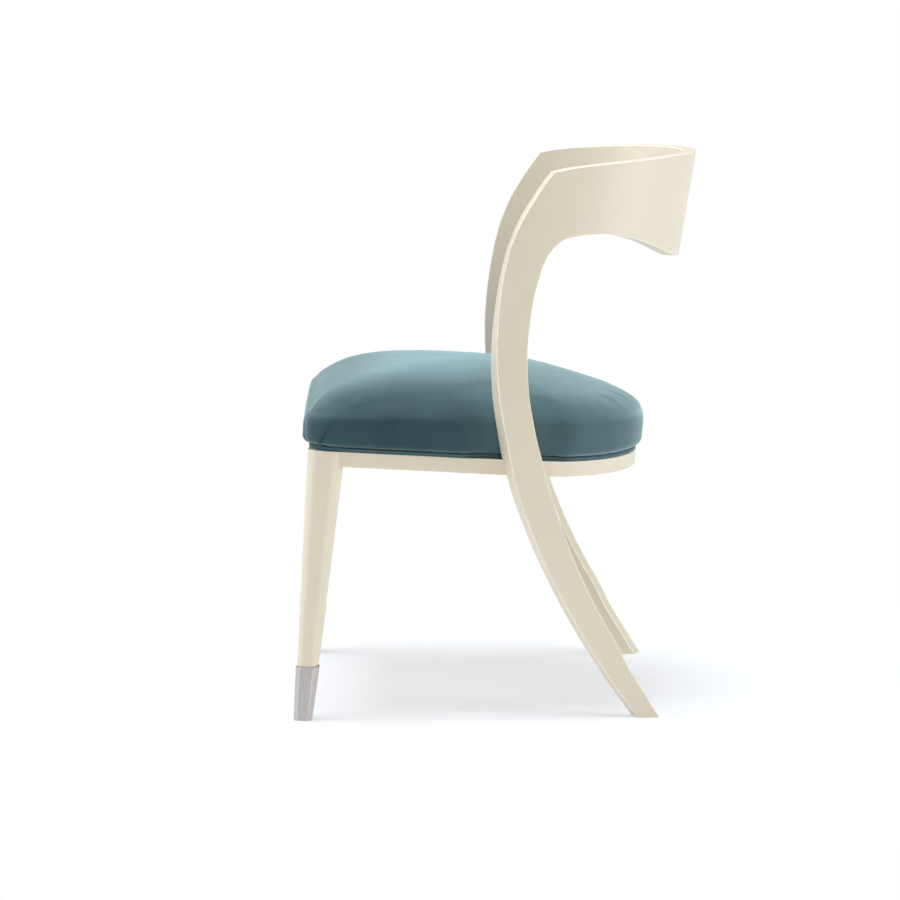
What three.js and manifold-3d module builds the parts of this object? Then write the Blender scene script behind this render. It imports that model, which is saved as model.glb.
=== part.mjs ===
// A klismos dining chair: sabre rear legs run up into a wrap-around crest, tapered front
// legs stand in metal ferrules and a crowned cushion sits on a slim tilted seat frame.
// Millimetres, +Z up, the front faces -Y and the sitter's left hand is at +X.

import * as THREE from 'three';
import Module from 'manifold-3d';
import { mergeVertices } from 'three/addons/utils/BufferGeometryUtils.js';

const wasm = await Module();
wasm.setup();

// Clearances between neighbouring pieces
const fitGap = 0.3;
const jointGap = 0.35;
const blockGap = 0.7;

// Back: rear legs, posts and crest are one bent board in plan
const backHeight = 802;
const backArcStart = 95;
const arcFloorHeight = 500;
const arcStartSlack = 40;
const crestDepth = 365;
const crestLean = 0.16;
const edgeChamfer = 1.6;
const seamShare = 0.8105;
const seamHeight = backHeight * seamShare;
const dowelRadius = 4;
const dowelLength = 56;
const dowelFrontY = 94;
const dowelBackY = 113;
const dowelInset = 13.5;

// Seat frame, measured in its own tilted plane with the rail top at zero; the legs and the back
// take their places from its widths and its front
const seatHeight = 378.2;
const seatTiltDegrees = 3.38;
const railFrontHalf = 239;
const railTaper = 14;
const railSideHalf = railFrontHalf - railTaper;
const footStandOut = 13;
const footHalfWidth = railSideHalf + footStandOut;
const railFrontY = -198;
const railBackY = 280;
const railDepth = 34;
const railHeight = 22;
const railSeamY = 108;
const tenonLength = 14;
const tenonWidth = 12;
const tenonHeight = 12;

// Front legs: a chamfered square section turned outwards, tapering to the ferrule
const legTopWidth = 50.5;
const legFootWidth = 22.7;
const legTopInset = 25;
const legTopX = railFrontHalf - legTopInset;
const legSplay = 28;
const legFootX = legTopX + legSplay;
const legTopSetback = 21.6;
const legTopY = railFrontY + legTopSetback;
const legRake = 35;
const legFootY = legTopY - legRake;
const legTaperPower = 0.85;
const legTurnDegrees = -5;
const legChamferShare = 0.2;
const ferruleHeight = 77;
const ferruleFloor = 4;
const ferruleLip = 1.4;

// Corner blocks and their fixings
const blockHeight = 20;
const blockDrop = 1;
const frontBlockNear = 40;
const frontBlockFar = 72;
const rearBlockWidth = 24;
const rearBlockFrontY = 66;
const rearBlockBackY = 160;
const screwRadius = 2;
const screwHeadRadius = 4.2;
const screwHeadHeight = 2.6;
const blockScrewLength = 28;
const blockScrewCover = 5;
const seatScrewLength = 28;
const seatScrewFrontInset = 35;
const seatScrewFrontX = railFrontHalf - railDepth - seatScrewFrontInset;
const seatScrewFrontSetback = 32;
const seatScrewFrontY = railFrontY + railDepth + seatScrewFrontSetback;
const seatScrewRearInset = 19;
const seatScrewRearX = railSideHalf - railDepth - seatScrewRearInset;
const seatScrewRearY = 140;
const boltRadius = 3;
const boltHeadRadius = 6;
const boltHeadHeight = 4;
const boltHeadSink = 3;
const boltFrontY = 95;
const boltBackY = 115;
const boltDepth = 15;
const boltSocketRadius = 2.6;
const boltSocketDepth = 2.4;

// Seat: board, welt and cushion
const boardThickness = 12;
const boardInset = 22;
const weltRadius = 2.4;
const weltInset = 1.5;
const cushionOverhang = 9.5;
const cushionFrontReach = 7;
const cushionHeight = 120;
const cushionCentreY = 30;
const cushionCornerRadius = 38;
const postNotchDepth = 16;
const postNotchY = 97;
const postNotchCore = 42;
const postNotchFade = 34;

// Mesh densities
const roundSides = 20;
const boltSides = 16;
const legStations = 12;
const sideStationsPerRow = 2;
const crestStations = 22;
const boardSpans = 4;
const weltStations = 84;
const weltSides = 6;
const sideSteps = 26;
const arcSteps = 40;
const blockSteps = 10;
const cornerSteps = 6;
const flankSteps = 11;
const roundSteps = 16;

// Half width of the back's outer face as shares of the foot half width, by height share
const backWidthShares = [
  [0.0, 1.0], [0.125, 1.017], [0.25, 1.03], [0.46, 1.042], [0.62, 1.034],
  [0.75, 1.017], [0.875, 0.992], [1.0, 0.966],
];

// Board thickness as shares of the back height, by height share
const backThickShares = [
  [0.0, 0.0275], [0.2, 0.03], [0.45, 0.0335], [0.7, 0.0325], [0.85, 0.029], [1.0, 0.0255],
];

// How far the inner face is skewed forwards, as shares of the back height, by height share
const innerSkewShares = [
  [0.0, 0.0112], [0.3, 0.0115], [0.38, 0.0117], [0.42, 0.0124], [0.47, 0.015], [0.52, 0.0142],
  [0.57, 0.0125], [0.62, 0.011], [0.68, 0.0092], [0.754, 0.0059], [0.825, 0.0042], [0.89, 0.0042],
  [0.95, 0.002], [1.0, 0.0],
];

// Side outline of the rear leg and post as shares of the back height: height, front edge, back edge
const rearLegShares = [
  [0.0, 0.3375, 0.3775], [0.0203, 0.3232, 0.3645], [0.0481, 0.3028, 0.3478], [0.0924, 0.2736, 0.3207],
  [0.131, 0.2493, 0.3016], [0.1804, 0.2204, 0.2737], [0.2389, 0.19, 0.2435], [0.2899, 0.1658, 0.2213],
  [0.346, 0.1427, 0.2002], [0.3804, 0.13, 0.1885], [0.4183, 0.1185, 0.1767], [0.4705, 0.107, 0.1637],
  [0.5062, 0.1001, 0.1545], [0.542, 0.0934, 0.1475], [0.5777, 0.0876, 0.1414], [0.6132, 0.0843, 0.1386],
  [0.6488, 0.0828, 0.1376], [0.7019, 0.0838, 0.1408], [0.7549, 0.088, 0.1483], [seamShare, 0.0969, 0.164],
];

// Wing outline above the seam up to the sharp top corner: front height and depth shares, then
// the lower height and depth shares
const wingShares = [
  [0.8509, 0.108, 0.8259, 0.1709], [0.8931, 0.127, 0.8378, 0.1786], [0.923, 0.1447, 0.8475, 0.187],
  [0.9474, 0.1605, 0.8545, 0.1952], [0.9648, 0.1731, 0.8599, 0.205], [0.979, 0.184, 0.8636, 0.219],
];

// Crest outline from the top corner to the centre of the back: upper angle and height shares,
// then lower angle and height shares; the angle share is a share of a quarter turn
const crestShares = [
  [0.128, 0.979, 0.21, 0.8636], [0.164, 0.983, 0.245, 0.866], [0.211, 0.9865, 0.29, 0.8667],
  [0.292, 0.99, 0.355, 0.8655], [0.376, 0.993, 0.425, 0.8599], [0.46, 0.9955, 0.5, 0.8515],
  [0.566, 0.998, 0.59, 0.8388], [0.68, 0.9993, 0.69, 0.8252], [0.79, 1.0, 0.795, 0.815],
  [0.9, 1.0, 0.9, 0.809], [1.0, 1.0, 1.0, 0.8065],
];

// Cushion rings: spread share of the outline, front height share, back height share, notch share
const cushionRingShares = [
  [0.972, 0.04, 0.04, 0.6], [0.991, 0.09, 0.09, 0.9], [1.0, 0.19, 0.19, 1.0], [1.0, 0.36, 0.34, 1.0],
  [0.986, 0.475, 0.44, 1.0], [0.957, 0.56, 0.515, 1.0], [0.915, 0.64, 0.585, 0.9],
  [0.85, 0.72, 0.66, 0.75], [0.75, 0.8, 0.745, 0.5], [0.61, 0.877, 0.835, 0.25],
  [0.43, 0.945, 0.915, 0.0], [0.22, 0.988, 0.98, 0.0],
];

const paintedWood = new THREE.MeshStandardMaterial({ color: 0xe2dccb, roughness: 0.45, metalness: 0 });
const ferruleMetal = new THREE.MeshStandardMaterial({ color: 0xb9b4b1, roughness: 0.35, metalness: 0.9 });
const plainWood = new THREE.MeshStandardMaterial({ color: 0xc9ad83, roughness: 0.7, metalness: 0 });
const fixingSteel = new THREE.MeshStandardMaterial({ color: 0x8f8f92, roughness: 0.4, metalness: 0.9 });
const velvet = new THREE.MeshStandardMaterial({ color: 0x44707a, roughness: 0.9, metalness: 0 });

const group = new THREE.Group();
group.name = 'klismos_chair';

// Straight-line reading of a table whose first column is the key
function readTable(rows, key) {
  const after = rows.findIndex((row) => row[0] >= key);
  if (after <= 0) return after === 0 ? rows[0][1] : rows[rows.length - 1][1];
  const [lowKey, lowValue] = rows[after - 1];
  const [highKey, highValue] = rows[after];
  return lowValue + ((highValue - lowValue) * (key - lowKey)) / (highKey - lowKey);
}

// A table continued straight on beyond one of its rows, away from the row next to it
function beyond(row, next) {
  return row.map((value, column) => 2 * value - next[column]);
}

// Evenly spaced rows on a smooth curve through all rows of a table; the two rows beyond its ends
// set the slopes there
function smoothRows(rows, count, before, after) {
  const width = rows[0].length;
  const result = Array.from({ length: count + 1 }, () => new Array(width).fill(0));
  const padded = [before, ...rows, after];
  for (let start = 0; start < width; start += 2) {
    const points = padded.map((row) => new THREE.Vector3(row[start], row[start + 1], 0));
    const curve = new THREE.CatmullRomCurve3(points, false, 'centripetal');
    result.forEach((row, index) => {
      const spot = 1 + ((rows.length - 1) * index) / count;
      const point = curve.getPoint(spot / (padded.length - 1));
      row[start] = point.x;
      row[start + 1] = point.y;
    });
  }
  return result;
}

// Closed body from rings of equal length, its two ends filled by fans
function ringSolid(rings) {
  const count = rings[0].length;
  const ends = [rings[0], rings[rings.length - 1]];
  const positions = [];
  rings.forEach((ring) => ring.forEach((point) => positions.push(point.x, point.y, point.z)));
  const hubs = ends.map((ring) => {
    const hub = ring.reduce((sum, point) => sum.add(point), new THREE.Vector3());
    hub.divideScalar(count);
    positions.push(hub.x, hub.y, hub.z);
    return positions.length / 3 - 1;
  });
  const index = [];
  for (let ring = 0; ring < rings.length - 1; ring += 1) {
    for (let side = 0; side < count; side += 1) {
      const next = (side + 1) % count;
      const low = ring * count;
      const high = low + count;
      index.push(low + side, low + next, high + next, low + side, high + next, high + side);
    }
  }
  const lastStart = (rings.length - 1) * count;
  for (let side = 0; side < count; side += 1) {
    const next = (side + 1) % count;
    index.push(hubs[0], next, side);
    index.push(hubs[1], lastStart + side, lastStart + next);
  }
  const geometry = new THREE.BufferGeometry();
  geometry.setAttribute('position', new THREE.Float32BufferAttribute(positions, 3));
  geometry.setIndex(index);
  return faceOutwards(geometry);
}

// Turn the faces round when the enclosed volume comes out negative
function faceOutwards(geometry) {
  const position = geometry.attributes.position;
  const index = geometry.index.array;
  const a = new THREE.Vector3();
  const b = new THREE.Vector3();
  const c = new THREE.Vector3();
  let volume = 0;
  for (let start = 0; start < index.length; start += 3) {
    a.fromBufferAttribute(position, index[start]);
    b.fromBufferAttribute(position, index[start + 1]);
    c.fromBufferAttribute(position, index[start + 2]);
    volume += a.dot(b.cross(c));
  }
  if (volume < 0) {
    for (let start = 0; start < index.length; start += 3) {
      [index[start], index[start + 1]] = [index[start + 1], index[start]];
    }
  }
  return geometry;
}

// Body for joining and cutting
function toSolid(geometry) {
  const plain = geometry.clone();
  plain.deleteAttribute('normal');
  plain.deleteAttribute('uv');
  const merged = mergeVertices(plain, 1e-4);
  const vertProperties = Float32Array.from(merged.attributes.position.array);
  const triVerts = Uint32Array.from(merged.index.array);
  return new wasm.Manifold(new wasm.Mesh({ numProp: 3, vertProperties, triVerts }));
}

function toGeometry(solid) {
  const mesh = solid.getMesh();
  const positions = Float32Array.from(mesh.vertProperties);
  const geometry = new THREE.BufferGeometry();
  geometry.setAttribute('position', new THREE.BufferAttribute(positions, 3));
  geometry.setIndex(new THREE.BufferAttribute(Uint32Array.from(mesh.triVerts), 1));
  return geometry;
}

function cutBy(geometry, cutters) {
  const cut = cutters.reduce((solid, cutter) => solid.subtract(toSolid(cutter)), toSolid(geometry));
  return toGeometry(cut);
}

function joinWith(geometry, others) {
  return toGeometry(others.reduce((solid, other) => solid.add(toSolid(other)), toSolid(geometry)));
}

function mirrored(geometry) {
  const copy = geometry.clone();
  copy.scale(-1, 1, 1);
  if (!copy.index) copy.setIndex([...Array(copy.attributes.position.count).keys()]);
  return faceOutwards(copy);
}

function addPiece(name, geometry, material) {
  const shaded = geometry.index ? geometry.toNonIndexed() : geometry;
  shaded.computeVertexNormals();
  const mesh = new THREE.Mesh(shaded, material);
  mesh.name = name;
  group.add(mesh);
}

// A right-hand piece and its mirror image
function addPair(name, geometry, material) {
  addPiece(`${name}_left`, geometry, material);
  addPiece(`${name}_right`, mirrored(geometry), material);
}

// Flat plate from an outline, lying between two heights
function plate(points, bottom, top) {
  const shape = new THREE.Shape(points);
  const geometry = new THREE.ExtrudeGeometry(shape, { depth: top - bottom, bevelEnabled: false });
  geometry.translate(0, 0, bottom);
  return geometry;
}

// Round bar from one point to another
function bar(start, end, radius, sides) {
  const length = start.distanceTo(end);
  const geometry = new THREE.CylinderGeometry(radius, radius, length, sides);
  return aimed(geometry, start, end, length / 2);
}

// Lay a body whose own axis is +Y along the line from start to end
function aimed(geometry, start, end, shift) {
  const direction = end.clone().sub(start).normalize();
  const turn = new THREE.Quaternion().setFromUnitVectors(new THREE.Vector3(0, 1, 0), direction);
  geometry.translate(0, shift, 0);
  geometry.applyQuaternion(turn);
  geometry.translate(start.x, start.y, start.z);
  return geometry;
}

// Fixing turned as one profile: head below the start point, shank from start to end
function fixing(start, end, shankRadius, headRadius, headHeight, socketRadius, socketDepth) {
  const length = start.distanceTo(end);
  const profile = [
    new THREE.Vector2(0, socketDepth - headHeight),
    new THREE.Vector2(socketRadius, socketDepth - headHeight),
    new THREE.Vector2(socketRadius, -headHeight),
    new THREE.Vector2(headRadius, -headHeight),
    new THREE.Vector2(headRadius, 0),
    new THREE.Vector2(shankRadius, 0),
    new THREE.Vector2(shankRadius, length - shankRadius),
    new THREE.Vector2(0, length),
  ];
  return aimed(new THREE.LatheGeometry(profile, boltSides), start, end, 0);
}

// Outer face of the back at a height: half width, and depth at the centre
function backHalfAt(height) {
  return footHalfWidth * readTable(backWidthShares, height / backHeight);
}

function backDepthAt(height) {
  return crestDepth + crestLean * (height - backHeight);
}

// Depth where the side runs into the bend; below the arc floor the legs never bend
function arcStartAt(height) {
  if (height < arcFloorHeight) return backHeight;
  const share = Math.min(1, (height - arcFloorHeight) / (seamHeight - arcFloorHeight));
  return backArcStart + arcStartSlack * (1 - share);
}

// Point of the bent board: angle 0 is where the side runs into the bend, negative angles run
// straight on towards the front, a quarter turn is the centre of the back
function boardPoint(angle, height, inward, skew) {
  const half = backHalfAt(height);
  const start = arcStartAt(height);
  if (angle <= 0) {
    return new THREE.Vector3(half - inward, start + crestDepth * angle - skew, height);
  }
  const reach = backDepthAt(height) - start;
  const normal = new THREE.Vector2(Math.cos(angle) / half, Math.sin(angle) / reach).normalize();
  return new THREE.Vector3(
    half * Math.cos(angle) - inward * normal.x + skew * normal.y,
    start + reach * Math.sin(angle) - inward * normal.y - skew * normal.x,
    height,
  );
}

// Angle of the outer face at a depth
function boardAngle(depth, height) {
  const start = arcStartAt(height);
  if (depth <= start) return (depth - start) / crestDepth;
  return Math.asin(Math.min(1, (depth - start) / (backDepthAt(height) - start)));
}

// Ring round the board between a front edge and a back edge, all corners chamfered
function boardRing(frontAngle, frontHeight, backAngle, backHeightHere, grow) {
  const share = frontHeight / backHeight;
  const thick = backHeight * readTable(backThickShares, share);
  const skew = backHeight * readTable(innerSkewShares, share);
  const front = boardPoint(frontAngle, frontHeight, 0, 0);
  const back = boardPoint(backAngle, backHeightHere, 0, 0);
  const width = front.distanceTo(back);
  const rim = edgeChamfer / width;
  const spread = grow / width;
  const at = (across, inward) => {
    const height = frontHeight + (backHeightHere - frontHeight) * across;
    const angle = frontAngle + (backAngle - frontAngle) * across;
    return boardPoint(angle, height, inward, (skew * inward) / thick);
  };
  const crossings = Array.from({ length: boardSpans + 1 }, (_, step) => {
    const across = rim + ((1 - 2 * rim) * step) / boardSpans;
    return across * (1 + 2 * spread) - spread;
  });
  const outer = crossings.map((across) => at(across, -grow));
  const inner = crossings.map((across) => at(across, thick + grow));
  return [
    ...outer,
    at(1 + spread, edgeChamfer - grow),
    at(1 + spread, thick - edgeChamfer + grow),
    ...inner.reverse(),
    at(-spread, thick - edgeChamfer + grow),
    at(-spread, edgeChamfer - grow),
  ];
}

// Rings up one side of the back, from the foot to the top corner: leg, post and wing are one
// smooth outline, and past the wing its lower edge runs on into the crest
function sideRings(grow) {
  const legRows = rearLegShares.map(([height, front, back]) => [height, front, height, back]);
  const rows = [...legRows, ...wingShares];
  const [, , nextAngle, nextZ] = crestShares[1];
  const start = arcStartAt(nextZ * backHeight);
  const reach = backDepthAt(nextZ * backHeight) - start;
  const nextY = (start + reach * Math.sin((nextAngle * Math.PI) / 2)) / backHeight;
  const after = [...beyond(rows[rows.length - 1], rows[rows.length - 2]).slice(0, 2), nextZ, nextY];
  const count = sideStationsPerRow * (rows.length - 1);
  return smoothRows(rows, count, beyond(rows[0], rows[1]), after).map((row) => {
    const [frontZ, frontY, backZ, backY] = row.map((share) => share * backHeight);
    return boardRing(boardAngle(frontY, frontZ), frontZ, boardAngle(backY, backZ), backZ, grow);
  });
}

function rearLegRings(grow) {
  return sideRings(grow).slice(0, sideStationsPerRow * (rearLegShares.length - 1) + 1);
}

// Cutters for the dowels that join post and crest
function crestDowels(radius, length) {
  return [dowelFrontY, dowelBackY].map((depth) => {
    const x = backHalfAt(seamHeight) - dowelInset;
    const start = new THREE.Vector3(x, depth, seamHeight - length / 2);
    const end = new THREE.Vector3(x, depth, seamHeight + length / 2);
    return bar(start, end, radius, roundSides);
  });
}

function buildRearLeg() {
  const rings = rearLegRings(0);
  rings[rings.length - 1].forEach((point) => {
    point.z -= jointGap;
  });
  const dowelHoles = crestDowels(dowelRadius + fitGap, dowelLength + 2 * fitGap);
  const boltHoles = legBoltLines().map(([start, end]) => {
    const tip = end.clone();
    tip.x += fitGap;
    return bar(start, tip, boltRadius + fitGap, roundSides);
  });
  return cutBy(ringSolid(rings), [...dowelHoles, ...boltHoles]);
}

// One half of the crest from the seam to the centre, then mirrored across
function buildCrest() {
  const wing = sideRings(0).slice(sideStationsPerRow * (rearLegShares.length - 1));
  const [, , lowZ, lowY] = wingShares[wingShares.length - 2];
  const quarter = Math.PI / 2;
  const lowAngle = boardAngle(lowY * backHeight, lowZ * backHeight) / quarter;
  const before = [...beyond(crestShares[0], crestShares[1]).slice(0, 2), lowAngle, lowZ];
  const [topAngle, topZ, bottomAngle, bottomZ] = crestShares[crestShares.length - 2];
  const after = [2 - topAngle, topZ, 2 - bottomAngle, bottomZ];
  const span = smoothRows(crestShares, crestStations, before, after).map((row) => (
    boardRing(row[0] * quarter, row[1] * backHeight, row[2] * quarter, row[3] * backHeight, 0)
  ));
  const half = [...wing, ...span.slice(1)];
  const flip = (ring) => ring.map((point) => new THREE.Vector3(-point.x, point.y, point.z));
  const other = half.slice(0, -1).map(flip).reverse();
  const holes = crestDowels(dowelRadius + fitGap, dowelLength + 2 * fitGap);
  return cutBy(ringSolid([...half, ...other]), [...holes, ...holes.map(mirrored)]);
}

// Outline of the seat frame in its own plane, moved inwards by an inset
function railHalfAt(depth, inset) {
  if (depth <= backArcStart) {
    const share = (depth - railFrontY) / (backArcStart - railFrontY);
    return railFrontHalf + (railSideHalf - railFrontHalf) * share - inset;
  }
  const reach = railBackY - backArcStart - inset;
  const rise = Math.min(1, (depth - backArcStart) / reach);
  return (railSideHalf - inset) * Math.sqrt(1 - rise * rise);
}

// Arc of the back rail from one seam round to the other
function backArc(inset, startY) {
  const reach = railBackY - backArcStart - inset;
  const half = railSideHalf - inset;
  const begin = Math.asin((startY - backArcStart) / reach);
  return Array.from({ length: arcSteps + 1 }, (_, step) => {
    const angle = begin + ((Math.PI - 2 * begin) * step) / arcSteps;
    return new THREE.Vector2(half * Math.cos(angle), backArcStart + reach * Math.sin(angle));
  });
}

// Strip that follows the side of the seat frame between two depths
function sideStrip(outerInset, innerInset, startY, endY, steps) {
  const depths = Array.from({ length: steps + 1 }, (_, step) => startY + ((endY - startY) * step) / steps);
  const outer = depths.map((depth) => new THREE.Vector2(railHalfAt(depth, outerInset), depth));
  const inner = depths.map((depth) => new THREE.Vector2(railHalfAt(depth, innerInset), depth));
  return [...outer, ...inner.reverse()];
}

// From the seat's own plane into the chair
function tilt(geometry) {
  geometry.rotateX(-THREE.MathUtils.degToRad(seatTiltDegrees));
  geometry.translate(0, 0, seatHeight);
  return geometry;
}

function box(minX, maxX, minY, maxY, minZ, maxZ) {
  const geometry = new THREE.BoxGeometry(maxX - minX, maxY - minY, maxZ - minZ);
  geometry.translate((minX + maxX) / 2, (minY + maxY) / 2, (minZ + maxZ) / 2);
  return geometry;
}

// Eight-sided leg section at a height, grown or shrunk by an amount each way
function legRing(height, grow, legTop) {
  const share = height / legTop;
  const half = (legFootWidth + (legTopWidth - legFootWidth) * share ** legTaperPower) / 2 + grow;
  const corner = half * (1 - 2 * legChamferShare);
  const centreX = legFootX + (legTopX - legFootX) * share;
  const centreY = legFootY + (legTopY - legFootY) * share;
  const turn = THREE.MathUtils.degToRad(legTurnDegrees);
  const outline = [
    [half, -corner], [half, corner], [corner, half], [-corner, half],
    [-half, corner], [-half, -corner], [-corner, -half], [corner, -half],
  ];
  return outline.map(([x, y]) => new THREE.Vector3(
    centreX + x * Math.cos(turn) - y * Math.sin(turn),
    centreY + x * Math.sin(turn) + y * Math.cos(turn),
    height,
  ));
}

// Tapered eight-sided body between two heights
function legBody(bottom, top, grow) {
  const legTop = seatHeight - legTopY * Math.tan(THREE.MathUtils.degToRad(seatTiltDegrees));
  const rings = Array.from({ length: legStations + 1 }, (_, step) => (
    legRing(bottom + ((top - bottom) * step) / legStations, grow, legTop)
  ));
  return ringSolid(rings);
}

// Half space above the seat plane, used to trim the leg tops
function aboveSeat(height) {
  const reach = 2 * railBackY;
  return tilt(box(-reach, reach, -reach, reach, height, height + railBackY));
}

// Tenon of the side rail and tenon of the front rail, seen in the seat's plane
function sideTenon(grow) {
  const x = (railFrontHalf + railFrontHalf - railDepth) / 2 - fitGap;
  const start = legTopY + legTopWidth / 2;
  const z = -railHeight / 2;
  return box(
    x - tenonWidth / 2 - grow, x + tenonWidth / 2 + grow, start - tenonLength - grow, start + tenonWidth,
    z - tenonHeight / 2 - grow, z + tenonHeight / 2 + grow,
  );
}

function frontTenon(grow) {
  const y = railFrontY + railDepth / 2;
  const start = legTopX - legTopWidth / 2;
  const z = -railHeight / 2;
  return box(
    start - tenonWidth, start + tenonLength + grow, y - tenonWidth / 2 - grow, y + tenonWidth / 2 + grow,
    z - tenonHeight / 2 - grow, z + tenonHeight / 2 + grow,
  );
}

function buildFrontLeg() {
  const legTop = seatHeight + railHeight - legTopY * Math.tan(THREE.MathUtils.degToRad(seatTiltDegrees));
  const blank = legBody(ferruleFloor + fitGap, legTop, 0);
  return cutBy(blank, [aboveSeat(0), tilt(sideTenon(fitGap)), tilt(frontTenon(fitGap))]);
}

// Metal cup round the foot of the leg
function buildFerrule() {
  const outside = legBody(0, ferruleHeight, ferruleLip);
  const socket = legBody(ferruleFloor, ferruleHeight + ferruleFloor, fitGap);
  return cutBy(outside, [socket]);
}

// Bolt lines through corner block and rail into the post, given in the chair
function legBoltLines() {
  const z = -railHeight / 2;
  return [boltFrontY, boltBackY].map((depth) => {
    const headX = railHalfAt(depth, railDepth + blockGap + rearBlockWidth);
    const tipX = railHalfAt(depth, 0) + boltDepth;
    const ends = [new THREE.Vector3(headX + boltHeadSink, depth, z), new THREE.Vector3(tipX, depth, z)];
    const turn = -THREE.MathUtils.degToRad(seatTiltDegrees);
    return ends.map((point) => {
      point.applyAxisAngle(new THREE.Vector3(1, 0, 0), turn);
      point.z += seatHeight;
      return point;
    });
  });
}

// Room for the bolts: their shanks and the open counterbores behind their heads
function legBoltHoles() {
  return legBoltLines().flatMap(([start, end]) => {
    const seat = start.clone();
    seat.x += fitGap;
    const open = start.clone();
    open.x -= rearBlockWidth;
    return [
      bar(start, end, boltRadius + fitGap, roundSides),
      bar(open, seat, boltHeadRadius + fitGap, roundSides),
    ];
  });
}

// Screw lines through the front corner block, in the seat's plane: one into the side rail, one
// into the front rail
function blockScrewLines() {
  const z = -blockDrop - blockHeight / 2;
  const innerY = railFrontY + railDepth;
  const middle = (frontBlockNear + frontBlockFar) / 2;
  const sideY = innerY + middle;
  const innerX = railHalfAt(sideY, railDepth);
  const coverX = innerX - (frontBlockFar - frontBlockNear) / 2 + blockScrewCover;
  const coverY = innerY + (frontBlockFar - frontBlockNear) / 2 - blockScrewCover;
  const frontX = railHalfAt(innerY, railDepth) - middle;
  return [
    [new THREE.Vector3(coverX, sideY, z), new THREE.Vector3(coverX + blockScrewLength, sideY, z)],
    [new THREE.Vector3(frontX, coverY, z), new THREE.Vector3(frontX, coverY - blockScrewLength, z)],
  ];
}

// Room for a screw: its shank and an open counterbore behind its head
function blockScrewRoom() {
  return blockScrewLines().flatMap(([start, end]) => {
    const direction = end.clone().sub(start).normalize();
    const tip = end.clone().addScaledVector(direction, fitGap);
    const seat = start.clone().addScaledVector(direction, fitGap);
    const open = start.clone().addScaledVector(direction, -frontBlockNear);
    return [
      tilt(bar(start, tip, screwRadius + fitGap, roundSides)),
      tilt(bar(open, seat, screwHeadRadius + fitGap, roundSides)),
    ];
  });
}

function woodScrew(start, end) {
  const socket = [screwRadius / 2, screwHeadHeight / 2];
  return fixing(start, end, screwRadius, screwHeadRadius, screwHeadHeight, ...socket);
}

function buildBlockScrews() {
  return blockScrewLines().map(([start, end]) => tilt(woodScrew(start, end)));
}

// Screws from below through the blocks into the seat board
function seatScrewLines() {
  const low = -blockDrop - blockHeight - fitGap;
  const places = [[seatScrewFrontX, seatScrewFrontY], [seatScrewRearX, seatScrewRearY]];
  const top = low + seatScrewLength;
  return places.map(([x, y]) => [new THREE.Vector3(x, y, low), new THREE.Vector3(x, y, top)]);
}

function seatScrewHoles() {
  return seatScrewLines().map(([start, end]) => {
    const tip = end.clone();
    tip.z += fitGap;
    const begin = start.clone();
    begin.z -= fitGap;
    return tilt(bar(begin, tip, screwRadius + fitGap, roundSides));
  });
}

function buildSeatScrews() {
  return seatScrewLines().map(([start, end]) => tilt(woodScrew(start, end)));
}

function buildFrontRail() {
  const reach = legTopX - legTopWidth / 4;
  const blank = tilt(box(-reach, reach, railFrontY, railFrontY + railDepth, -railHeight, 0));
  const legRoom = legBody(ferruleHeight, seatHeight + railHeight, fitGap);
  const tenon = tilt(frontTenon(0));
  const shaped = cutBy(blank, [legRoom, mirrored(legRoom)]);
  const joined = joinWith(shaped, [tenon, mirrored(tenon)]);
  const screwRoom = blockScrewRoom();
  return cutBy(joined, [...screwRoom, ...screwRoom.map(mirrored)]);
}

function buildSideRail() {
  const startY = legTopY + legTopWidth / 4;
  const outline = sideStrip(0, railDepth, startY, railSeamY - fitGap / 2, sideSteps);
  const legRoom = legBody(ferruleHeight, seatHeight + railHeight, fitGap);
  const postRoom = ringSolid(rearLegRings(fitGap));
  const shaped = cutBy(tilt(plate(outline, -railHeight, 0)), [legRoom, postRoom]);
  return cutBy(joinWith(shaped, [tilt(sideTenon(0))]), [...blockScrewRoom(), ...legBoltHoles()]);
}

function buildBackRail() {
  const startY = railSeamY + fitGap / 2;
  const outline = [...backArc(0, startY), ...backArc(railDepth, startY).reverse()];
  const postRoom = ringSolid(rearLegRings(fitGap));
  const holes = legBoltHoles();
  const cutters = [postRoom, mirrored(postRoom), ...holes, ...holes.map(mirrored)];
  return cutBy(tilt(plate(outline, -railHeight, 0)), cutters);
}

function buildFrontBlock() {
  const innerY = railFrontY + railDepth + blockGap;
  const innerX = (depth) => railHalfAt(depth, railDepth + blockGap);
  const nearY = innerY + frontBlockNear;
  const farY = innerY + frontBlockFar;
  const outline = [
    new THREE.Vector2(innerX(nearY), nearY),
    new THREE.Vector2(innerX(farY), farY),
    new THREE.Vector2(innerX(innerY) - frontBlockFar, innerY),
    new THREE.Vector2(innerX(innerY) - frontBlockNear, innerY),
  ];
  const blank = tilt(plate(outline, -blockDrop - blockHeight, -blockDrop));
  return cutBy(blank, [...blockScrewRoom(), ...seatScrewHoles()]);
}

function buildRearBlock() {
  const near = railDepth + blockGap;
  const outline = sideStrip(near, near + rearBlockWidth, rearBlockFrontY, rearBlockBackY, blockSteps);
  const blank = tilt(plate(outline, -blockDrop - blockHeight, -blockDrop));
  return cutBy(blank, [...legBoltHoles(), ...seatScrewHoles()]);
}

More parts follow.
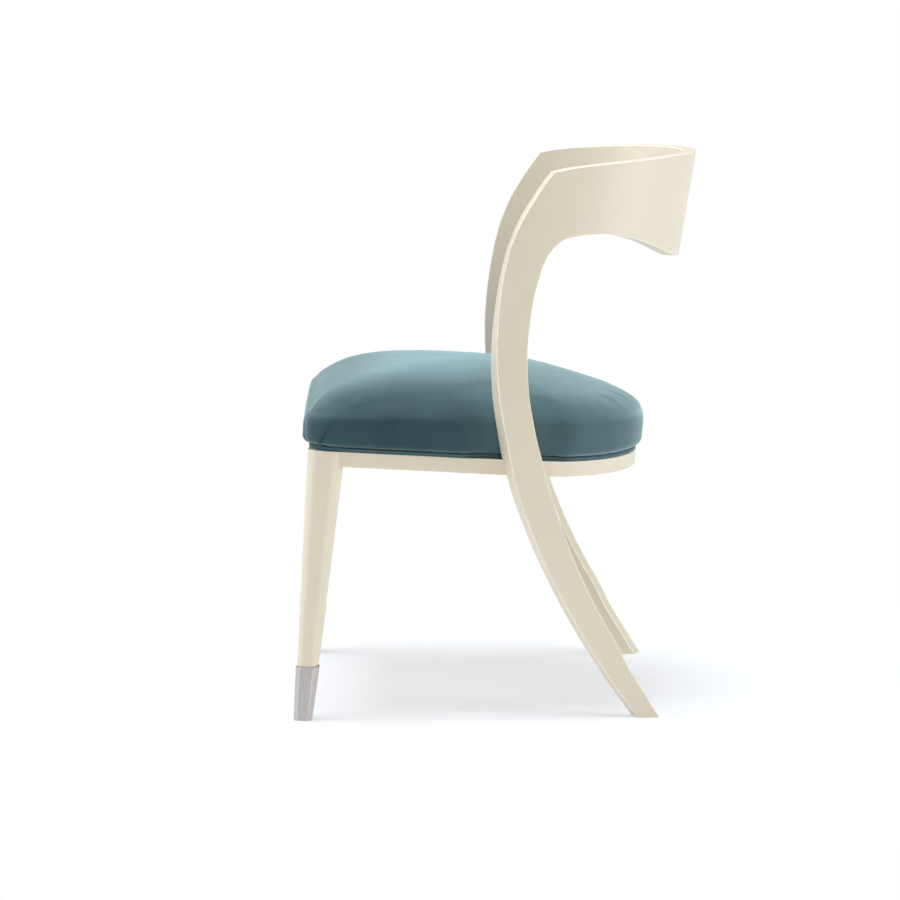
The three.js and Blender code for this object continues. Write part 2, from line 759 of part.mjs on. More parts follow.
// Closed outline of the seat with round front corners, drawn in beside each post
function seatOutline(inset, notchShare) {
  const front = railFrontY + inset;
  const radius = cushionCornerRadius - inset;
  const corner = Array.from({ length: cornerSteps + 1 }, (_, step) => {
    const angle = (Math.PI / 2) * (step / cornerSteps);
    const x = railHalfAt(front + radius, inset) - radius + radius * Math.sin(angle);
    return new THREE.Vector2(x, front + radius - radius * Math.cos(angle));
  });
  const side = Array.from({ length: flankSteps }, (_, step) => {
    const depth = front + radius + ((backArcStart - front - radius) * (step + 1)) / flankSteps;
    return new THREE.Vector2(railHalfAt(depth, inset), depth);
  });
  const reach = railBackY - backArcStart - inset;
  const half = railSideHalf - inset;
  const back = Array.from({ length: roundSteps }, (_, step) => {
    const angle = (Math.PI / 2) * ((step + 1) / roundSteps);
    return new THREE.Vector2(half * Math.cos(angle), backArcStart + reach * Math.sin(angle));
  });
  const right = [...corner, ...side, ...back];
  right.forEach((point) => {
    const away = Math.max(0, Math.abs(point.y - postNotchY) - postNotchCore) / postNotchFade;
    if (away < 1) point.x -= postNotchDepth * notchShare * Math.cos((away * Math.PI) / 2) ** 2;
  });
  const left = right.slice(0, -1).map((point) => new THREE.Vector2(-point.x, point.y)).reverse();
  return [...right, ...left];
}

function buildBoard() {
  const holes = seatScrewHoles();
  const blank = tilt(plate(seatOutline(boardInset, 1), fitGap, fitGap + boardThickness));
  return cutBy(blank, [...holes, ...holes.map(mirrored)]);
}

// Piping sewn round the foot of the cushion
function buildWelt() {
  const centre = fitGap + weltRadius;
  const [, , , notchShare] = cushionRingShares[0];
  const outline = seatOutline(weltInset + weltRadius, notchShare);
  const path = outline.map((point) => new THREE.Vector3(point.x, point.y, centre));
  const curve = new THREE.CatmullRomCurve3(path, true);
  const section = new THREE.Shape(Array.from({ length: weltSides }, (_, side) => {
    const angle = (side / weltSides) * 2 * Math.PI;
    return new THREE.Vector2(weltRadius * Math.cos(angle), weltRadius * Math.sin(angle));
  }));
  const options = { steps: weltStations, extrudePath: curve, bevelEnabled: false };
  return tilt(new THREE.ExtrudeGeometry(section, options));
}

// Crowned cushion: rings shrink towards the middle while they rise, steeper at the front
function buildCushion() {
  const base = fitGap + 2 * weltRadius + fitGap;
  const [, firstShare] = cushionRingShares[0];
  const rings = cushionRingShares.map(([spread, frontShare, backShare, notchShare]) => {
    const outline = seatOutline(-cushionOverhang, notchShare);
    return outline.map((point) => {
      const fromCentre = (point.y - cushionCentreY) / (railBackY - cushionCentreY);
      const backBlend = THREE.MathUtils.clamp((fromCentre + 1) / 2, 0, 1);
      const heightShare = frontShare + (backShare - frontShare) * backBlend;
      const rise = (cushionHeight - base) * ((heightShare - firstShare) / (1 - firstShare));
      const frontPull = THREE.MathUtils.clamp(-fromCentre, 0, 1) * cushionFrontReach;
      return new THREE.Vector3(
        point.x * spread,
        cushionCentreY + (point.y - frontPull - cushionCentreY) * spread,
        base + rise,
      );
    });
  });
  const solid = ringSolid(rings);
  const position = solid.attributes.position;
  position.setZ(position.count - 1, cushionHeight);
  const pocket = plate(seatOutline(boardInset - fitGap, 1), 0, boardThickness + 2 * fitGap);
  return cutBy(tilt(solid), [tilt(pocket)]);
}

addPiece('rail_front', buildFrontRail(), paintedWood);
addPair('rail_side', buildSideRail(), paintedWood);
addPiece('rail_back', buildBackRail(), paintedWood);
addPair('front_leg', buildFrontLeg(), paintedWood);
addPair('ferrule', buildFerrule(), ferruleMetal);
addPair('rear_leg', buildRearLeg(), paintedWood);
addPiece('crest', buildCrest(), paintedWood);
crestDowels(dowelRadius, dowelLength).forEach((dowel, index) => {
  addPair(`crest_dowel_${index + 1}`, dowel, plainWood);
});
addPair('block_front', buildFrontBlock(), plainWood);
addPair('block_rear', buildRearBlock(), plainWood);
buildBlockScrews().forEach((screw, index) => {
  addPair(`block_screw_${index + 1}`, screw, fixingSteel);
});
legBoltLines().forEach(([start, end], index) => {
  const socket = [boltSocketRadius, boltSocketDepth];
  const bolt = fixing(start, end, boltRadius, boltHeadRadius, boltHeadHeight, ...socket);
  addPair(`leg_bolt_${index + 1}`, bolt, fixingSteel);
});
buildSeatScrews().forEach((screw, index) => {
  addPair(`seat_screw_${index + 1}`, screw, fixingSteel);
});
addPiece('seat_board', buildBoard(), plainWood);
addPiece('seat_welt', buildWelt(), velvet);
addPiece('seat_cushion', buildCushion(), velvet);

// The origin is the middle of the footprint, on the floor
const bounds = new THREE.Box3().setFromObject(group);
const middleY = (bounds.min.y + bounds.max.y) / 2;
group.children.forEach((mesh) => mesh.geometry.translate(0, -middleY, 0));

export default group;
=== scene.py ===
import bpy
import math
import numpy as np
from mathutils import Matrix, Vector


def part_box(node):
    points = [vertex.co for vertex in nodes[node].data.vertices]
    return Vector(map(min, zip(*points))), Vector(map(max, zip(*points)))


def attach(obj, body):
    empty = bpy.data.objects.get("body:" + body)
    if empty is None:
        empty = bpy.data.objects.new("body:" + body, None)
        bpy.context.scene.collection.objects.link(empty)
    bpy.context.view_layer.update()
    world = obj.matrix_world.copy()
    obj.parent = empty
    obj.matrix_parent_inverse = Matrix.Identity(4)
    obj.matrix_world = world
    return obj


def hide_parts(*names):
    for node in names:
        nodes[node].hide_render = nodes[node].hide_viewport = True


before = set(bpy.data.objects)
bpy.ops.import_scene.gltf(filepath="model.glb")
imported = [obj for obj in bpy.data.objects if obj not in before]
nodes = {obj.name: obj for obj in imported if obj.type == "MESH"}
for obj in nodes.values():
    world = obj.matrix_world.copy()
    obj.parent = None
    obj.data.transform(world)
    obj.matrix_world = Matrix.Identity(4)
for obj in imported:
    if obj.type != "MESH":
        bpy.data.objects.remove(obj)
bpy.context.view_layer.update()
scene = bpy.context.scene
scene.view_settings.view_transform = "Standard"
print("frame loaded:", len(nodes), "solids")

# Lengths below are millimetres in the maker's own drawing, whose depth zero lies shiftY from the
# middle of the footprint.
mm = 0.001
boardShape = dict(
    height=802.0, footHalf=238.0, arcStart=95.0, arcFloor=500.0, arcSlack=40.0,
    crestDepth=365.0, crestLean=0.16, seam=650.0, edgeRound=1.6, dowelY=94.0,
    # by share of the height: half width of the back, thickness and slant of the board
    widths=[(0, 1), (.125, 1.017), (.25, 1.03), (.46, 1.042), (.62, 1.034), (.75, 1.017),
            (.875, .992), (1, .966)],
    thicks=[(0, .0275), (.2, .03), (.45, .0335), (.7, .0325), (.85, .029), (1, .0255)],
    skews=[(0, .0112), (.3, .0115), (.38, .0117), (.42, .0124), (.47, .015), (.52, .0142), (.57, .0125),
           (.62, .011), (.68, .0092), (.754, .0059), (.825, .0042), (.89, .0042), (.95, .002), (1, 0)],
)
shiftY = float(sum(corner.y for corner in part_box("crest_dowel_1_left"))) / 2 / mm - boardShape["dowelY"]


# Drawing points in the metres of the frame: moved in depth by shiftY, then scaled.
def toFrame(points):
    moved = np.array(points, float)
    moved[..., 1] += shiftY
    return moved * mm


# Keeps one value per point on a mesh, which a material can read by its name.
def storeValues(mesh, name, values):
    layer = mesh.attributes.new(name, "FLOAT", "POINT")
    layer.data.foreach_set("value", np.asarray(values, np.float32).ravel())


# Puts points and faces into a new mesh object; the whole shell is turned if its volume is
# negative. Edges between two points with the same mark, other than zero, are shaded sharp.
def makeMesh(name, points, quads, triangles=None, edgeMask=None, sharpRings=None):
    points = np.asarray(points, np.float32).reshape(-1, 3)
    quads = np.asarray(quads, np.int32).reshape(-1, 4)
    triangles = np.asarray([] if triangles is None else triangles, np.int32).reshape(-1, 3)
    halves = np.concatenate([quads[:, [0, 1, 2]], quads[:, [0, 2, 3]], triangles])
    a, b, c = (points[halves[:, k]].astype(float) for k in range(3))
    if np.einsum("ij,ij->i", a, np.cross(b, c)).sum() < 0:
        quads, triangles = quads[:, ::-1], triangles[:, ::-1]
    mesh = bpy.data.meshes.new(name)
    mesh.vertices.add(len(points))
    mesh.vertices.foreach_set("co", points.ravel())
    corners = np.concatenate([quads.ravel(), triangles.ravel()]).astype(np.int32)
    mesh.loops.add(len(corners))
    mesh.loops.foreach_set("vertex_index", corners)
    starts = np.concatenate([np.arange(len(quads)) * 4, len(quads) * 4 + np.arange(len(triangles)) * 3])
    mesh.polygons.add(len(starts))
    mesh.polygons.foreach_set("loop_start", starts.astype(np.int32))
    mesh.update(calc_edges=True)
    mesh.validate()
    mesh.polygons.foreach_set("use_smooth", np.ones(len(mesh.polygons), bool))
    # the edge mask marks the rounded edges, where a highlight is painted in a lighter colour
    if edgeMask is not None:
        storeValues(mesh, "paintedEdgeHighlight", edgeMask)
    if sharpRings is not None:
        marks = np.zeros(len(points), np.int32)
        marks[: len(sharpRings)] = sharpRings
        ends = np.zeros(len(mesh.edges) * 2, np.int32)
        mesh.edges.foreach_get("vertices", ends)
        pair = marks[ends.reshape(-1, 2)]
        sharp = mesh.attributes.get("sharp_edge") or mesh.attributes.new("sharp_edge", "BOOLEAN", "EDGE")
        sharp.data.foreach_set("value", (pair[:, 0] > 0) & (pair[:, 0] == pair[:, 1]))
    made = bpy.data.objects.new(name, mesh)
    scene.collection.objects.link(made)
    return made


# Quads between neighbouring rings; closed round each ring, and along the path too when looped.
def ringQuads(ringCount, sideCount, looped=False):
    rows = np.arange(ringCount if looped else ringCount - 1)[:, None]
    sides = np.arange(sideCount)[None, :]
    after, beside = (rows + 1) % ringCount, (sides + 1) % sideCount
    return np.stack([rows * sideCount + sides, rows * sideCount + beside,
                     after * sideCount + beside, after * sideCount + sides], -1).reshape(-1, 4)


# Solid from an array of rings (ring, side, xyz): walls between rings and a fan on each end.
def loftRings(name, rings, edgeMask=None, sharpEnds=True):
    count, sides = rings.shape[:2]
    hubs = np.stack([rings[0].mean(0), rings[-1].mean(0)])
    points = np.concatenate([rings.reshape(-1, 3), hubs])
    side = np.arange(sides)
    beside = (side + 1) % sides
    last = (count - 1) * sides
    low = np.stack([np.full(sides, count * sides), beside, side], -1)
    high = np.stack([np.full(sides, count * sides + 1), last + side, last + beside], -1)
    if edgeMask is not None:
        edgeMask = np.append(np.broadcast_to(edgeMask, (count, sides)), [0, 0])
    marks = None
    if sharpEnds:
        marks = np.zeros((count, sides), np.int32)
        marks[0], marks[-1] = 1, 2
        marks = marks.ravel()
    return makeMesh(name, points, ringQuads(count, sides), np.concatenate([low, high]), edgeMask, marks)


# Rounded rectangle as five arrays: where a point lies between corner centres, across and in
# depth (0 to 1), the unit direction in which the corner radius is added there, and a mask that
# is 1 in the middle of each corner.
def roundedSection(faceSteps, edgeSteps, cornerSteps):
    centres = np.array([(0, 0), (1, 0), (1, 1), (0, 1)], float)
    turns = np.array([180, 270, 0, 90], float)
    parts = []
    for index in range(4):
        here, following = centres[index], centres[(index + 1) % 4]
        angles = np.radians(turns[index] + np.linspace(0, 90, cornerSteps + 1))
        arc = np.column_stack([np.tile(here, (cornerSteps + 1, 1)), np.cos(angles), np.sin(angles),
                               np.ones(cornerSteps + 1)])
        steps = faceSteps if index % 2 == 0 else edgeSteps
        share = (np.arange(1, steps) / steps)[:, None]
        flat = np.column_stack([here + (following - here) * share,
                                np.tile(arc[-1, 2:4], (steps - 1, 1)), np.zeros(steps - 1)])
        parts += [arc, flat]
    section = np.concatenate(parts)
    section[:, 4] *= np.abs(section[:, 2] * section[:, 3]) * 2
    return section.T


# Smooth reading of a table of (key, value): cubic pieces whose slopes are the local gradients.
def smoothRead(table, key):
    keys, values = np.array(table, float).T
    slopes = np.gradient(values, keys)
    key = np.clip(key, keys[0], keys[-1])
    low = np.clip(np.searchsorted(keys, key, side="right") - 1, 0, len(keys) - 2)
    step = keys[low + 1] - keys[low]
    t = (key - keys[low]) / step
    return ((2 * t**3 - 3 * t**2 + 1) * values[low] + (t**3 - 2 * t**2 + t) * step * slopes[low]
            + (3 * t**2 - 2 * t**3) * values[low + 1] + (t**3 - t**2) * step * slopes[low + 1])


# Evenly counted points on the centripetal spline through each pair of columns of a table. A pair
# in before or after is a neighbour beyond the table's end, which sets the slope there.
def smoothRows(rows, count, before=None, after=None):
    rows = np.array(rows, float)
    spot = np.linspace(0, len(rows) - 1, count + 1)
    low = np.minimum(spot.astype(int), len(rows) - 2)
    t = (spot - low)[:, None]
    pairs = []
    for start in range(0, rows.shape[1], 2):
        inner = rows[:, start:start + 2]
        head = (before or {}).get(start, 2 * inner[0] - inner[1])
        tail = (after or {}).get(start, 2 * inner[-1] - inner[-2])
        padded = np.vstack([head, inner, tail])
        p0, p1, p2, p3 = (padded[low + k] for k in range(4))
        spans = [np.linalg.norm(span, axis=1)[:, None] for span in (p1 - p0, p2 - p1, p3 - p2)]
        gaps = [np.maximum(span, 1e-9) ** 0.5 for span in spans]
        t1 = ((p1 - p0) / gaps[0] - (p2 - p0) / (gaps[0] + gaps[1]) + (p2 - p1) / gaps[1]) * gaps[1]
        t2 = ((p2 - p1) / gaps[1] - (p3 - p1) / (gaps[1] + gaps[2]) + (p3 - p2) / gaps[2]) * gaps[1]
        pairs.append(p1 + t1 * t + (3 * (p2 - p1) - 2 * t1 - t2) * t**2 + (2 * (p1 - p2) + t1 + t2) * t**3)
    return np.concatenate(pairs, 1)


# Half width of the back at a height: the foot's half width times a share read from the table.
def backHalf(height):
    return boardShape["footHalf"] * smoothRead(boardShape["widths"], height / boardShape["height"])


# Depth of the back's outer face in the middle: the crest's own, changed by the lean for each
# millimetre of height from the top.
def backDepth(height):
    return boardShape["crestDepth"] + boardShape["crestLean"] * (height - boardShape["height"])


# Depth where the straight side runs into the bend, easing forwards up to the crest's seam.
def bendStart(height):
    share = np.clip((height - boardShape["arcFloor"]) / (boardShape["seam"] - boardShape["arcFloor"]), 0, 1)
    eased = boardShape["arcStart"] + boardShape["arcSlack"] * (1 - share)
    return np.where(height < boardShape["arcFloor"], 2 * boardShape["crestDepth"], eased)


# Angle of the outer face at a depth: below zero on the straight side, a quarter turn at the back.
def boardAngle(depth, height):
    start = bendStart(height)
    reach = backDepth(height) - start
    bent = np.arcsin(np.clip((depth - start) / np.where(reach > 1, reach, 1), -1, 1))
    return np.where(depth <= start, (depth - start) / boardShape["crestDepth"], bent)


# Point of the board: a half ellipse in plan joined to straight sides, moved inwards along the
# ellipse's normal by inward and along its tangent by skew.
def boardPoint(angle, height, inward, skew):
    half, start = backHalf(height), bendStart(height)
    reach = backDepth(height) - start
    nx, ny = np.cos(angle) / half, np.sin(angle) / np.where(reach > 1, reach, 1)
    size = np.hypot(nx, ny)
    nx, ny = nx / size, ny / size
    straight = angle <= 0
    x = np.where(straight, half - inward, half * np.cos(angle) - inward * nx + skew * ny)
    y = np.where(straight, start + boardShape["crestDepth"] * angle - skew,
                 start + reach * np.sin(angle) - inward * ny - skew * nx)
    return np.stack([x, y, height + 0 * x], -1)


# Rings round the board between its front edge and its back edge, with rounded corners.
def boardRings(frontAngle, frontHeight, backAngle, backHeight, section):
    total, corner = boardShape["height"], boardShape["edgeRound"]
    thick = (total * smoothRead(boardShape["thicks"], frontHeight / total))[:, None]
    skew = (total * smoothRead(boardShape["skews"], frontHeight / total))[:, None]
    front = boardPoint(frontAngle, frontHeight, 0, 0)
    back = boardPoint(backAngle, backHeight, 0, 0)
    width = np.linalg.norm(back - front, axis=1)[:, None]
    acrossAt, inwardAt, acrossPush, inwardPush = (row[None, :] for row in section[:4])
    share = (acrossAt * (width - 2 * corner) + corner * (1 + acrossPush)) / width
    inward = inwardAt * (thick - 2 * corner) + corner * (1 + inwardPush)
    height = frontHeight[:, None] + (backHeight - frontHeight)[:, None] * share
    angle = frontAngle[:, None] + (backAngle - frontAngle)[:, None] * share
    return boardPoint(angle, height, inward, skew * inward / thick)


rearLeg = dict(
    section=(14, 6, 6), stepsPerRow=10,
    # height, front edge and back edge as shares of the back's height
    outline=[(0, .3375, .3775), (.0203, .3232, .3645), (.0481, .3028, .3478), (.0924, .2736, .3207),
             (.131, .2493, .3016), (.1804, .2204, .2737), (.2389, .19, .2435), (.2899, .1658, .2213),
             (.346, .1427, .2002), (.3804, .13, .1885), (.4183, .1185, .1767), (.4705, .107, .1637),
             (.5062, .1001, .1545), (.542, .0934, .1475), (.5777, .0876, .1414), (.6132, .0843, .1386),
             (.6488, .0828, .1376), (.7019, .0838, .1408), (.7549, .088, .1483), (.8105, .0969, .164)],
)
crestBoard = dict(
    spanStations=200, section=(40, 6, 6),
    # front height and depth, low height and depth, as shares of the back's height
    wing=[(.8509, .108, .8259, .1709), (.8931, .127, .8378, .1786), (.923, .1447, .8475, .187),
          (.9474, .1605, .8545, .1952), (.9648, .1731, .8599, .205), (.979, .184, .8636, .219)],
    # upper angle and height, lower angle and height; angles as shares of a quarter turn
    span=[(.128, .979, .21, .8636), (.164, .983, .245, .866), (.211, .9865, .29, .8668),
          (.292, .99, .355, .8655), (.376, .993, .425, .8599), (.46, .9955, .5, .8515),
          (.566, .998, .59, .8388), (.68, .9993, .69, .8252), (.79, 1, .795, .815),
          (.9, 1, .9, .809), (1, 1, 1, .8065)],
)


# The same points on the other side of the chair: x changes its sign.
def mirrorX(points):
    return points * np.array([-1.0, 1.0, 1.0])


# The same rings as a left piece and, mirrored, as a right piece.
def loftPair(name, rings, *settings):
    return [loftRings(name + "_left", rings, *settings),
            loftRings(name + "_right", mirrorX(rings), *settings)]


# Leg, post and wing are one smooth outline, cut at the seam; rings run from front to back edge.
def sideRings(section, start, end):
    table = [(h, f, h, b) for h, f, b in rearLeg["outline"]] + crestBoard["wing"]
    # past the wing the low edge runs on into the span's second row
    angle, total = crestBoard["span"][1][2] * math.pi / 2, boardShape["height"]
    low = crestBoard["span"][1][3] * total
    ahead = bendStart(low) + (backDepth(low) - bendStart(low)) * math.sin(angle)
    steps = rearLeg["stepsPerRow"] * (len(table) - 1)
    rows = smoothRows(table, steps, after={2: (low / total, ahead / total)})[start:end] * total
    return boardRings(boardAngle(rows[:, 1], rows[:, 0]), rows[:, 0],
                      boardAngle(rows[:, 3], rows[:, 2]), rows[:, 2], section)


# Ring of the side at which the wing begins: a full count of steps for each row below it.
def seamRow():
    return rearLeg["stepsPerRow"] * (len(rearLeg["outline"]) - 1)


# Rear legs with their posts: the side's rings from the foot up to the seam.
def buildRearLegs():
    section = roundedSection(*rearLeg["section"])
    rings = toFrame(sideRings(section, 0, seamRow() + 1))
    return loftPair("sabre_leg", rings, section[4])


# Half the crest is a wing and half the span; past the middle the span's table mirrors itself.
def buildCrest():
    section = roundedSection(*crestBoard["section"])
    wing = sideRings(section, seamRow(), None)
    quarter, total = math.pi / 2, boardShape["height"]
    low, depth = crestBoard["wing"][-2][2] * total, crestBoard["wing"][-2][3] * total
    middle = 2 * np.array(crestBoard["span"][-1]) - crestBoard["span"][-2]
    middle[1::2] = np.array(crestBoard["span"][-2])[1::2]
    rows = smoothRows(crestBoard["span"], crestBoard["spanStations"],
                      before={2: (float(boardAngle(depth, low)) / quarter, low / total)},
                      after={0: middle[:2], 2: middle[2:]})
    span = boardRings(rows[:, 0] * quarter, rows[:, 1] * total,
                      rows[:, 2] * quarter, rows[:, 3] * total, section)
    half = np.concatenate([wing, span[1:]])
    rings = np.concatenate([half, mirrorX(half[:-1])[::-1]])
    return loftRings("crest_board", toFrame(rings), section[4])


sabreLegs = buildRearLegs()
crest = buildCrest()
print("back board:", [len(o.data.polygons) for o in (*sabreLegs, crest)])


seatFrame = dict(
    height=378.2, tilt=3.38, frontHalf=239.0, sideHalf=225.0, frontY=-198.0, backY=280.0,
    depth=34.0, thick=22.0, seamY=108.0, seamGap=0.15, edgeRound=1.3,
    # the side rails begin and the front rail ends inside the front legs
    sideBegin=-172.0, frontEnd=206.0, stations=60, backStations=180, section=(8, 6, 4),
)


# From the seat's own plane into the chair: turned about X by the tilt, then lifted.
def tiltSeat(points):
    angle = math.radians(seatFrame["tilt"])
    x, y, z = points[..., 0], points[..., 1], points[..., 2]
    turned = [x, y * math.cos(angle) + z * math.sin(angle),
              z * math.cos(angle) - y * math.sin(angle) + seatFrame["height"]]
    return np.stack(turned, -1)


# Frame points from places across, in depth and above the seat's own plane.
def seatPoints(*places):
    return toFrame(tiltSeat(np.stack(np.broadcast_arrays(*places), -1)))


# Half width of the seat at a depth: straight to the arc's start, then a half ellipse.
def seatHalf(depth, inset):
    start = boardShape["arcStart"]
    share = (depth - seatFrame["frontY"]) / (start - seatFrame["frontY"])
    straight = seatFrame["frontHalf"] + (seatFrame["sideHalf"] - seatFrame["frontHalf"]) * share - inset
    rise = np.clip((depth - start) / (seatFrame["backY"] - start - inset), 0, 1)
    return np.where(depth <= start, straight, (seatFrame["sideHalf"] - inset) * np.sqrt(1 - rise**2))


# Rail section: inset runs across the rail, height is zero on its top face and falls below it.
def railSection():
    section = roundedSection(*seatFrame["section"])
    corner, depth, thick = seatFrame["edgeRound"], seatFrame["depth"], seatFrame["thick"]
    inset = section[0] * (depth - 2 * corner) + corner * (1 + section[2])
    drop = section[1] * (thick - 2 * corner) + corner * (1 + section[3])
    return inset[None, :], -drop[None, :], section[4]


# Rails: the rounded section carried along the straight sides, round a half ellipse at the back
# and across the front, all in the seat's own plane.
def buildRails():
    inset, height, mask = railSection()
    seam, gap = seatFrame["seamY"], seatFrame["seamGap"]
    depths = np.linspace(seatFrame["sideBegin"], seam - gap, seatFrame["stations"])[:, None]
    side = seatPoints(seatHalf(depths, inset), depths, height)
    start = boardShape["arcStart"]
    reach = seatFrame["backY"] - start - inset
    begin = np.arcsin((seam + gap - start) / reach)
    angle = begin + (math.pi - 2 * begin) * np.linspace(0, 1, seatFrame["backStations"])[:, None]
    x, y = (seatFrame["sideHalf"] - inset) * np.cos(angle), start + reach * np.sin(angle)
    back = seatPoints(x, y, height)
    xs = np.linspace(-seatFrame["frontEnd"], seatFrame["frontEnd"], seatFrame["stations"])[:, None]
    front = seatPoints(xs, seatFrame["frontY"] + inset, height)
    return [loftRings("seat_rail_front", front, mask), *loftPair("seat_rail", side, mask),
            loftRings("seat_rail_back", back, mask)]


rails = buildRails()


frontLeg = dict(
    topWidth=51.8, footWidth=22.7, topAt=(214.0, -176.4), footAt=(242.0, -211.4),
    taper=0.85, turn=-5.0, chamfer=0.2, foot=4.3, cornerShare=.25, stations=90,
    # the last entry is the strength of the highlight painted on the leg's corners
    groove=1.3, grooveUnder=.5, grooveWall=.1, clear=.5, topBlend=60, edgeHighlight=.15,
)
ferrule = dict(
    height=77.0, lip=1.4, cornerShare=.065, rimRound=0.7, rimSteps=6, wall=1.25,
    insideFrom=.1, insideTo=3, stations=40,
)


# Height of the seat's plane over a depth.
def seatPlane(depth):
    return seatFrame["height"] - depth * math.tan(math.radians(seatFrame["tilt"]))


# Eight-sided outline of half size one as corner points, walked round once.
def eightSides(chamfer):
    c = 1 - 2 * chamfer
    return np.array([(1, -c), (1, c), (c, 1), (-c, 1), (-1, c), (-1, -c), (-c, -1), (c, -1)])


# The same outline at each half size, its corners turned into short arcs by quadratic curves that
# start a share of the half size away, and each flat divided; the mask is 1 on the corners.
def softOutline(half, chamfer, cornerShare, arcSteps=5, flatSteps=4):
    shape = eightSides(chamfer)[None] * half[:, None, None]
    before, after = np.roll(shape, 1, 1), np.roll(shape, -1, 1)
    ahead = (after - shape) / np.linalg.norm(after - shape, axis=-1, keepdims=True)
    behind = (before - shape) / np.linalg.norm(before - shape, axis=-1, keepdims=True)
    corner = cornerShare * half[:, None, None]
    start, end = shape + behind * corner, shape + ahead * corner
    t = np.linspace(0, 1, arcSteps + 1)[None, None, :, None]
    arc = (1 - t) ** 2 * start[:, :, None] + 2 * t * (1 - t) * shape[:, :, None] + t**2 * end[:, :, None]
    following = np.roll(start, -1, 1)
    s = (np.arange(1, flatSteps) / flatSteps)[None, None, :, None]
    flat = end[:, :, None] + (following - end)[:, :, None] * s
    mask = np.concatenate([np.sin(np.linspace(0, math.pi, arcSteps + 1)), np.zeros(flatSteps - 1)])
    return np.concatenate([arc, flat], 2).reshape(len(half), -1, 2), np.tile(mask, 8)


# Rings of the tapered leg: half width grows with height to the taper power, the centre moves
# straight from foot to top and the outline is turned outwards.
def legRings(heights, grow, cornerShare):
    share = heights / seatPlane(frontLeg["topAt"][1])
    narrow, wide = frontLeg["footWidth"], frontLeg["topWidth"]
    width = narrow + (wide - narrow) * np.maximum(share, 0) ** frontLeg["taper"]
    outline, mask = softOutline(width / 2 + grow, frontLeg["chamfer"], cornerShare)
    turn = math.radians(frontLeg["turn"])
    x = outline[..., 0] * math.cos(turn) - outline[..., 1] * math.sin(turn)
    y = outline[..., 0] * math.sin(turn) + outline[..., 1] * math.cos(turn)
    foot, top = np.array(frontLeg["footAt"]), np.array(frontLeg["topAt"])
    middle = (foot + (top - foot) * share[:, None])[:, None]
    height = np.broadcast_to(heights[:, None], x.shape)
    return np.stack([x + middle[..., 0], y + middle[..., 1], height], -1), mask


# Front legs: rings from foot to top, drawn in by the groove's depth just above the cup.
def buildFrontLegs():
    top = seatPlane(frontLeg["topAt"][1])
    # a fine groove stands open above the cup's rim
    low, high = ferrule["height"] - frontLeg["grooveUnder"], ferrule["height"] + frontLeg["groove"]
    clear, wall = frontLeg["clear"], frontLeg["grooveWall"]
    heights = np.linspace(frontLeg["foot"], top, frontLeg["stations"])
    heights = heights[(heights < low - clear) | (heights > high + clear)]
    heights = np.sort(np.concatenate([heights, [low, low + wall, high - wall, high]]))
    sunk = np.where((heights > low) & (heights < high), -frontLeg["groove"], 0.0)
    rings, mask = legRings(heights, sunk, frontLeg["cornerShare"])
    # the last rings lean into the seat's plane, so that the top is flush with the rails
    blend = frontLeg["topBlend"]
    lean = np.clip((rings[..., 2] - top + blend) / blend, 0, 1) ** 2
    rings[..., 2] += (seatPlane(rings[..., 1]) - top) * lean
    # the corner mask, scaled, sets where a highlight is painted on the leg's edges
    return loftPair("tapered_leg", toFrame(rings), mask * frontLeg["edgeHighlight"])


# Cup profile as (height, growth) pairs: sole, rounded foot edge, wall, rounded rim, inside wall.
def buildFerrules():
    lip, rim, height = ferrule["lip"], ferrule["rimRound"], ferrule["height"]
    arc = np.radians(np.linspace(0, 90, ferrule["rimSteps"]))
    low = np.column_stack([rim - rim * np.cos(arc), lip - rim + rim * np.sin(arc)])
    straight = np.linspace(rim, height - rim, ferrule["stations"])[1:-1]
    body = np.column_stack([straight, np.full(len(straight), lip)])
    high = np.column_stack([height - rim + rim * np.sin(arc), lip - rim + rim * np.cos(arc)])
    inside = [(height - ferrule[key], lip - ferrule["wall"]) for key in ("insideFrom", "insideTo")]
    profile = np.concatenate([low, body, high, inside])
    parts = [legRings(np.array([level]), grow, ferrule["cornerShare"]) for level, grow in profile]
    rings = toFrame(np.concatenate([part[0] for part in parts]))
    # the corner mask of the rings sets where a highlight is painted on the cup's corners
    return loftPair("foot_cup", rings, parts[0][1], False)


taperedLegs = buildFrontLegs()
footCups = buildFerrules()
print("seat frame and front legs made")


